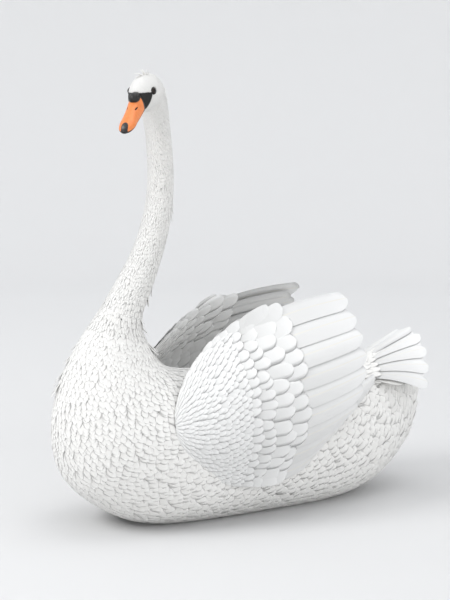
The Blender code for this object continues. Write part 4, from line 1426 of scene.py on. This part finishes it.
def makeUpperBill():
    # The dome over the cutting edges is a half ellipse squared off a little; below it a
    # shallow palate.
    over = np.linspace(-np.pi / 2, np.pi / 2, 97)
    under = np.linspace(0.93, -0.93, 21)

    def ring(culmen, edge, lowest, half):
        dome = edge + (culmen - edge) * np.cos(over) ** 0.8
        palate = edge + 0.0004 + 0.0016 * (1 - under**2)
        return (
            np.concatenate([half * np.sin(over), half * under], 1),
            np.concatenate([dome, palate + 0 * half], 1),
        )

    t, scale = roundedEnd(np.linspace(0, billLast, 150))
    points, forward, side, up = billShell(t, scale, ring)
    edge = billPath(t)[:, 2][:, None]
    turn = np.concatenate([over, np.full(len(under), np.pi)])[None, :]
    top = np.concatenate([np.ones(len(over)), np.zeros(len(under))])[None, :]
    normal = gridNormals(points)
    facing = np.sign(np.sum(normal[20, 48] * (points[20, 48] - points[20].mean(0))))
    normal = normal * facing

    section, place, halfLong, halfHigh, depth = billForm["nostril"]
    row = int(np.argmin(np.abs(t - section)))
    dent = np.zeros(side.shape)
    for way in (1, -1):
        column = int(np.argmin(np.abs(over - way * place)))
        lengthwise = unit(points[row + 2, column] - points[row - 2, column])
        upward = unit(points[row, column - way] - points[row, column + way])
        away = points - points[row, column]
        a, b = away @ lengthwise / halfLong, away @ upward / halfHigh
        sameSide = np.abs(away @ np.cross(lengthwise, upward)) < 0.004
        dent = np.maximum(dent, np.where(sameSide, 1.25 - np.hypot(a, b), 0))
    dent = np.clip(dent, 0, 1.2) * top

    middle, halfLong, halfWide, height = billForm["nail"]
    f = forward[:, None]
    nail = 1 - np.hypot(np.minimum(f - middle, 0) / halfLong, side / halfWide)
    nail = np.where(top > 0, nail, -1)
    lift = height * smoothStep(nail / 0.22) - depth * smoothStep(dent / 0.85) * top
    # a low ridge runs down the culmen, and the sides swell a little above the edge
    lift = lift + 0.0005 * np.exp(-((side / 0.0035) ** 2)) * top * np.clip((0.118 - f) / 0.03, 0, 1)
    points = points + normal * lift[..., None]

    base = billForm["blackBase"]
    black = (base[0] + base[1] * (1 - np.cos(turn)) ** 1.5 - f) * 1000
    black = np.where(top > 0, black, np.maximum(black, 0.5))
    black = np.maximum(black, nail * 7.0)
    # the nostril's hollow is painted black: painted shade for the dark inside a deeper hole
    black = np.maximum(black, (dent - 0.30) * 1.6)
    cutting = billForm["cuttingEdge"] + 0.9 * smoothStep((f - 0.112) / 0.01)
    black = np.maximum(black, np.where(top > 0, cutting - (up - edge) * 1000, 1))
    return points, black, "bill_upper"


def makeLowerBill():
    # A keel below, flat above, a little inside the upper bill.
    under = np.linspace(-np.pi / 2, np.pi / 2, 49)
    above = np.linspace(0.97, -0.97, 17)

    def ring(culmen, edge, lowest, half):
        keel = edge - 0.0005 - (edge - lowest - 0.0005) * np.cos(under) ** 0.7
        flat = edge - 0.0004 - 0.0008 * (1 - above**2)
        return (
            0.90 * half * np.concatenate([np.sin(under), above])[None, :],
            np.concatenate([keel, flat + 0 * half], 1),
        )

    t, scale = roundedEnd(np.linspace(0, billLast - 0.25, 90))
    points, forward, side, up = billShell(t, scale, ring)
    edge = billPath(t)[:, 2][:, None]
    groove = np.exp(-(((np.abs(side) - 0.0065) / 0.0012) ** 2)) * (up < edge - 0.001)
    normal = gridNormals(points)
    normal = normal * np.sign(np.sum(normal[20, 24] * (points[20, 24] - points[20].mean(0))))
    points = points - normal * (0.0004 * groove * np.clip((0.118 - forward[:, None]) / 0.02, 0, 1))[..., None]
    black = (0.0560 - forward[:, None]) * 1000 + 0 * side
    black = np.maximum(black, 0.9 - (edge - up) * 1000)
    black = np.maximum(black, (forward[:, None] - 0.1225) * 1000)
    return points, black, "bill_lower"


def billMaterial():
    # Orange horn, faintly streaked and mottled, and black where the attribute is above 0.
    made, tree = newMaterial("billHorn")
    shader = principled(tree, Specular_IOR_Level=0.5, Coat_Roughness=0.25)
    calc = calculator(tree)
    black = node(tree, "ShaderNodeAttribute", attribute_name="black")
    isBlack = calc("MULTIPLY_ADD", black.outputs["Fac"], 3.5, 0.5, clamp=True)
    place = node(tree, "ShaderNodeUVMap", uv_map="horn")
    stretch = node(tree, "ShaderNodeMapping")
    stretch.inputs["Scale"].default_value = (5, 46, 1)
    wire(tree, place.outputs[0], stretch.inputs[0])
    streaks = node(tree, "ShaderNodeTexNoise")
    streaks.inputs["Scale"].default_value = 1.0
    streaks.inputs["Detail"].default_value = 4
    wire(tree, stretch.outputs[0], streaks.inputs["Vector"])
    spot = node(tree, "ShaderNodeTexCoord")
    mottle = node(tree, "ShaderNodeTexNoise")
    mottle.inputs["Scale"].default_value = 160
    mottle.inputs["Detail"].default_value = 6
    wire(tree, spot.outputs["Object"], mottle.inputs["Vector"])
    orange = mixColour(tree, mottle.outputs[0], (0.80, 0.195, 0.040), (1.0, 0.335, 0.085))
    soot = calc("MULTIPLY", calc("SUBTRACT", streaks.outputs[0], 0.45, clamp=True), 0.8)
    orange = mixColour(tree, soot, orange, (0.62, 0.13, 0.03))
    # the orange dulls just before it meets the black
    near = calc("MULTIPLY_ADD", black.outputs["Fac"], 0.28, 0.72, clamp=True)
    orange = mixColour(tree, calc("MULTIPLY", near, 0.22), orange, (0.30, 0.06, 0.02))
    dark = mixColour(tree, mottle.outputs[0], (0.008, 0.007, 0.007), (0.030, 0.027, 0.025))
    wire(tree, mixColour(tree, isBlack, orange, dark), shader.inputs["Base Color"])
    rough = calc("MULTIPLY_ADD", mottle.outputs[0], 0.22, 0.27)
    wire(tree, rough, shader.inputs["Roughness"])
    shader.inputs["Coat Weight"].default_value = 0.12
    bump = node(tree, "ShaderNodeBump")
    bump.inputs["Strength"].default_value = 0.35
    bump.inputs["Distance"].default_value = 0.0003
    height = calc("ADD", calc("MULTIPLY", streaks.outputs[0], 0.7), calc("MULTIPLY", mottle.outputs[0], 0.5))
    wire(tree, height, bump.inputs["Height"])
    wire(tree, bump.outputs[0], shader.inputs["Normal"])
    return made


billHorn = billMaterial()


def gridUv(made, name, rows, columns):
    # A plain map of the grid, with both end points at the middle of their edges.
    s, t = np.meshgrid(np.linspace(0, 1, rows), np.linspace(0, 1, columns), indexing="ij")
    flat = np.vstack([np.stack([s, t], -1).reshape(-1, 2), [[0, 0.5], [1, 0.5]]])
    setUv(made.data, name, flat)


for points, black, nodeName in (makeUpperBill(), makeLowerBill()):
    piece = newPiece("horn" + nodeName.split("_")[1].title(), *closedGrid(points), [billHorn], "bill_horn")
    outwardNormals(piece)
    gridUv(piece, "horn", *points.shape[:2])
    ends = [black[0].mean(), black[-1].mean()]
    setTone(piece.data, "black", np.concatenate([black.ravel(), ends]))
    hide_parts(nodeName)


def blackSkinMaterial(name, light, dark, grains, depth, roughness):
    # Grained skin between a light and a dark shade, rougher where it is lighter.
    made, tree = newMaterial(name)
    shader = principled(tree, Specular_IOR_Level=0.33)
    shade = addLeather(tree, shader, grains, depth)
    wire(tree, mixColour(tree, shade, dark, light), shader.inputs["Base Color"])
    wire(tree, calculator(tree)("MULTIPLY_ADD", shade, 0.25, roughness), shader.inputs["Roughness"])
    return made


knobForm = {"centre": (0.0575, 0.0115), "radii": (0.0145, 0.0105, 0.0108)}
knobSkin = blackSkinMaterial("knobSkin", (0.034, 0.033, 0.032), (0.007, 0.007, 0.007), 1500, 0.4, 0.30)


def ballGrid(rows, columns):
    # The angle from a ball's axis and the turn about it, without the two ends.
    turn = np.linspace(0, 2 * np.pi, columns, endpoint=False)
    return np.meshgrid(np.linspace(0, np.pi, rows)[1:-1], turn, indexing="ij")


def makeKnob():
    # An egg lying on the base of the bill, its length in the bill's line: fuller in front,
    # with a shallow furrow along the top and a skirt where it meets the horn.
    t, v = ballGrid(62, 72)
    long, wide, high = knobForm["radii"]
    swell = 1 + 0.05 * np.cos(t) + 0.015 * np.sin(3 * v + 1) * np.sin(t) ** 2
    furrow = 1 - 0.035 * np.exp(-((np.sin(v) / 0.30) ** 2)) * (np.cos(v) > 0) * np.sin(t)
    skirt = 1 + 0.14 * np.clip(-np.cos(v) - 0.1, 0, 1) * np.sin(t)
    side = wide * np.sin(t) ** 0.92 * np.sin(v) * swell * skirt
    up = high * np.sin(t) ** 0.92 * np.cos(v) * swell * furrow
    points = fromSkull(knobForm["centre"][0] + long * np.cos(t), side, knobForm["centre"][1] + up)
    piece = newPiece("knob", *closedGrid(points), [knobSkin], "black_skin")
    outwardNormals(piece)
    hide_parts("bill_knob")


def eyeMaterial():
    # Pupil and iris by the angle from the eye's axis, with a wet gloss.
    made, tree = newMaterial("swanEye")
    shader = principled(tree, Roughness=0.05, Specular_IOR_Level=0.28)
    calc = calculator(tree)
    angle = node(tree, "ShaderNodeAttribute", attribute_name="angle")
    place = node(tree, "ShaderNodeTexCoord")
    fibres = node(tree, "ShaderNodeTexNoise")
    fibres.inputs["Scale"].default_value = 900
    wire(tree, place.outputs["Object"], fibres.inputs["Vector"])
    iris = mixColour(tree, fibres.outputs[0], (0.010, 0.005, 0.003), (0.040, 0.018, 0.009))
    past = calc("MULTIPLY_ADD", angle.outputs["Fac"], 14.0, -5.9, clamp=True)
    edge = calc("MULTIPLY_ADD", angle.outputs["Fac"], 9.0, -6.2, clamp=True)
    colour = mixColour(tree, past, (0.002, 0.002, 0.002), iris)
    wire(tree, mixColour(tree, edge, colour, (0.006, 0.004, 0.004)), shader.inputs["Base Color"])
    return made


def makeEyes():
    # Two balls, each a little fuller over the pupil.
    t, v = ballGrid(50, 56)
    radius = eyeForm["radius"] * (1 + 0.025 * np.exp(-((t / 0.45) ** 2)))
    vertices, faces, angles = [], [], []
    for centre, outward, ahead, upward in eyeFrames.values():
        points = centre + radius[..., None] * (
            outward * np.cos(t)[..., None]
            + ahead * (np.sin(t) * np.cos(v))[..., None]
            + upward * (np.sin(t) * np.sin(v))[..., None]
        )
        ball, parts = closedGrid(points)
        faces += [part + sum(map(len, vertices)) for part in parts]
        vertices.append(ball)
        angles.append(np.concatenate([t.ravel(), [0, np.pi]]))
    piece = newPiece("eyes", np.vstack(vertices), faces, [eyeMaterial()], "eye")
    outwardNormals(piece)
    setTone(piece.data, "angle", np.concatenate(angles))
    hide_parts("eye_left", "eye_right")


makeKnob()
makeEyes()
print("bill, knob and eyes made")

# Legs, webbed feet and claws

footForm = {
    # (x, y, z) of the left shank's middle and its radius, from the heel forward
    "shank": (
        (0.0395, 0.1790, 0.0100, 0.0040), (0.0400, 0.1740, 0.0110, 0.0082),
        (0.0405, 0.1640, 0.0112, 0.0104), (0.0415, 0.1480, 0.0103, 0.0094),
        (0.0435, 0.1200, 0.0095, 0.0082), (0.0455, 0.0880, 0.0092, 0.0080),
        (0.0470, 0.0570, 0.0092, 0.0084),
    ),
    "toeRoot": (0.0472, 0.0562, 0.0070),
    "toes": ((-14, 0.094), (2, 0.110), (17, 0.096)),   # degrees outward, length
    "toeRadius": 0.0062,
    "web": 0.0026,
    "claw": (0.0105, 0.0028),                          # length, radius at its root
}


def makeLeg(side, finish):
    path = naturalSpline(footForm["shank"])
    t = np.linspace(0, len(footForm["shank"]) - 1, 70)[:, None]
    x, y, z, radius = np.moveaxis(path(t[:, 0]), -1, 0)
    v = np.linspace(0, 2 * np.pi, 28, endpoint=False)[None, :]
    # overlapping scutes down the front of the shank
    scute = 1 + 0.035 * (t * 4.5 % 1.0) * np.clip(np.sin(v), 0, 1)
    r = radius[:, None] * scute
    height = np.maximum(z[:, None] + r * np.sin(v), 0.0002)
    points = np.stack([side * (x[:, None] + r * np.cos(v)), y[:, None] + 0 * r, height], -1)
    word = "Left" if side > 0 else "Right"
    piece = newPiece("leg" + word, *closedGrid(points), [finish], "black_skin")
    outwardNormals(piece)
    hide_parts("leg_" + word.lower())


def makeFoot(side, finish):
    # A fan of rays from where the toes part: round knuckled toes with a sagging web between.
    degrees, lengths = np.array(footForm["toes"]).T
    angles = np.radians(degrees)
    fan = np.linspace(angles[0] - 0.10, angles[-1] + 0.10, 85)
    reach = np.interp(fan, angles, lengths)
    for k in range(len(angles) - 1):
        middle = np.clip((fan - angles[k]) / (angles[k + 1] - angles[k]), 0, 1)
        reach = reach - 0.016 * np.sin(np.pi * middle)
    outside = np.maximum(np.maximum(angles[0] - fan, fan - angles[-1]), 0)
    reach = reach * (1 - (outside / 0.16) ** 2)
    share = np.linspace(0, 1, 60)[:, None]
    near = np.min(np.abs(fan[:, None] - angles[None, :]), axis=1)[None, :]
    away = near * reach[None, :] * share
    knuckle = 1 + 0.12 * np.cos(share * 3.2 * 2 * np.pi) * (share < 0.95)
    radius = footForm["toeRadius"] * (1 - 0.45 * share) * knuckle
    toe = radius * np.cos(np.pi / 2 * np.clip(away / (1.35 * radius), 0, 1))
    crease = 0.00025 * np.sin(share * 70 + 3 * np.sin(near * 40)) * np.clip(away / 0.004, 0, 1)
    top = footForm["web"] + toe + crease
    top = top * np.sqrt(np.clip(1 - share**14, 0.06, 1))
    root = footForm["toeRoot"]
    spread = np.linspace(-1, 1, len(fan))[None, :] * root[2] * (1 - share)
    x = side * (root[0] + spread + reach[None, :] * share * np.sin(fan)[None, :])
    y = root[1] - reach[None, :] * share * np.cos(fan)[None, :]
    upper = np.stack([x, y, np.maximum(top, 0.0006)], -1)[None]
    lower = np.stack([x, y, 0 * x + 0.0001], -1)[None]
    word = "Left" if side > 0 else "Right"
    patch, tone = np.array([[0.5, 0.5]]), np.ones(1)
    piece = bladePiece("foot" + word, upper, lower, patch, tone, [finish], "black_skin")
    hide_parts("foot_" + word.lower())


def makeClaws(finish):
    # Cones that curve down to the ground from the end of each toe.
    s = np.linspace(0, 1, 14)[:, None]
    v = np.linspace(0, 2 * np.pi, 16, endpoint=False)[None, :]
    length, thick = footForm["claw"]
    r = thick * (1 - s) ** 0.75 + 0.00025
    vertices, faces = [], []
    for side in (1, -1):
        for degrees, toe in footForm["toes"]:
            angle = math.radians(degrees)
            forward = np.array([side * math.sin(angle), -math.cos(angle)])
            start = np.array([side * footForm["toeRoot"][0], footForm["toeRoot"][1]])
            start = start + forward * (toe - 0.0035)
            x = start[0] + forward[0] * length * s + forward[1] * r * np.cos(v) * 0.8
            y = start[1] + forward[1] * length * s - forward[0] * r * np.cos(v) * 0.8
            z = 0.0004 + r + 0.0016 * np.sin(np.pi * s) + r * np.sin(v)
            cone, parts = closedGrid(np.stack([x, y, z + 0 * x], -1))
            faces += [part + sum(map(len, vertices)) for part in parts]
            vertices.append(cone)
    piece = newPiece("claws", np.vstack(vertices), faces, [finish], "black_skin")
    outwardNormals(piece)


legSkin = blackSkinMaterial("legSkin", (0.050, 0.049, 0.046), (0.010, 0.010, 0.010), 620, 0.7, 0.38)
clawHorn = blackSkinMaterial("clawHorn", (0.022, 0.020, 0.018), (0.006, 0.006, 0.006), 300, 0.15, 0.20)
for side in (1, -1):
    makeLeg(side, legSkin)
    makeFoot(side, legSkin)
makeClaws(clawHorn)
print("legs and feet made")

# Floor, light and camera

stageForm = {"radius": 5.0, "wall": 1.6, "height": 4.5, "shadeNear": 0.68, "shadeFar": 0.80}


def makeStage():
    # A flat round floor that curves up into a wall on every side.
    flat = np.linspace(0, stageForm["radius"] - stageForm["wall"], 8)[1:]
    turn = np.linspace(0, np.pi / 2, 16)[1:]
    r = np.concatenate([flat, flat[-1] + stageForm["wall"] * np.sin(turn), [stageForm["radius"]]])
    z = np.concatenate([0 * flat, stageForm["wall"] * (1 - np.cos(turn)), [stageForm["height"]]])
    a = np.linspace(0, 2 * np.pi, 96, endpoint=False)
    grid = np.stack([r[:, None] * np.cos(a), r[:, None] * np.sin(a), z[:, None] + 0 * a], -1)
    rows, columns = grid.shape[:2]
    mesh = bpy.data.meshes.new("floor")
    vertices = np.vstack([grid.reshape(-1, 3), [[0, 0, 0]]])
    quads = gridFaces(rows, columns, closed=True)
    i = np.arange(columns)
    hub = np.stack([np.full(columns, rows * columns), i, (i + 1) % columns], -1)
    quads = quads[:, ::-1]
    mesh.from_pydata(vertices.tolist(), [], quads.tolist() + hub.tolist())
    mesh.polygons.foreach_set("use_smooth", np.ones(len(mesh.polygons), bool))
    floor = bpy.data.objects.new("floor", mesh)
    scene.collection.objects.link(floor)
    # a little paler away from the middle, where less light falls
    finish, tree = newMaterial("paleFloor")
    shader = principled(tree, Roughness=0.9, Specular_IOR_Level=0.1)
    place = node(tree, "ShaderNodeTexCoord")
    length = node(tree, "ShaderNodeVectorMath", operation="LENGTH")
    wire(tree, place.outputs["Object"], length.inputs[0])
    away = calculator(tree)("MULTIPLY_ADD", length.outputs[1], 0.42, -0.30, clamp=True)
    near, far = [(stageForm[shade],) * 3 for shade in ("shadeNear", "shadeFar")]
    wire(tree, mixColour(tree, away, near, far), shader.inputs["Base Color"])
    mesh.materials.append(finish)


makeStage()

lightForm = {
    # place, size, watts
    "key": ((-0.3, -3.2, 3.0), 2.0, 81),
    "fill": ((3.6, 1.0, 1.6), 2.4, 24),
    "top": ((0.2, 0.8, 4.0), 2.8, 30),
}
for name, (place, size, watts) in lightForm.items():
    lamp = bpy.data.lights.new(name, "AREA")
    lamp.shape, lamp.size, lamp.energy = "DISK", size, watts
    holder = bpy.data.objects.new(name, lamp)
    holder.location = place
    toward = Vector((0, 0.1, 0.4)) - Vector(place)
    holder.rotation_euler = toward.to_track_quat("-Z", "Y").to_euler()
    scene.collection.objects.link(holder)

studioForm = {"colour": (0.95, 0.97, 1.0), "strength": 0.90}
world = bpy.data.worlds.new("studio")
scene.world = world
world.use_nodes = True
background = world.node_tree.nodes["Background"]
background.inputs["Color"].default_value = (*studioForm["colour"], 1)
background.inputs["Strength"].default_value = studioForm["strength"]

cameraForm = {
    "azimuth": 60.0, "elevation": 8.5, "distance": 3.2, "lens": 91.6, "target": (0.0, 0.0643, 0.4416),
}


def makeCamera():
    az, el = math.radians(cameraForm["azimuth"]), math.radians(cameraForm["elevation"])
    back = Vector((math.sin(az) * math.cos(el), -math.cos(az) * math.cos(el), math.sin(el)))
    data = bpy.data.cameras.new("camera")
    data.lens = cameraForm["lens"]
    data.sensor_width = 36.0
    holder = bpy.data.objects.new("camera", data)
    holder.location = Vector(cameraForm["target"]) + back * cameraForm["distance"]
    holder.rotation_euler = back.to_track_quat("Z", "Y").to_euler()
    scene.collection.objects.link(holder)
    scene.camera = holder


makeCamera()
scene.view_settings.view_transform = "Standard"
print("stage, lights and camera made")
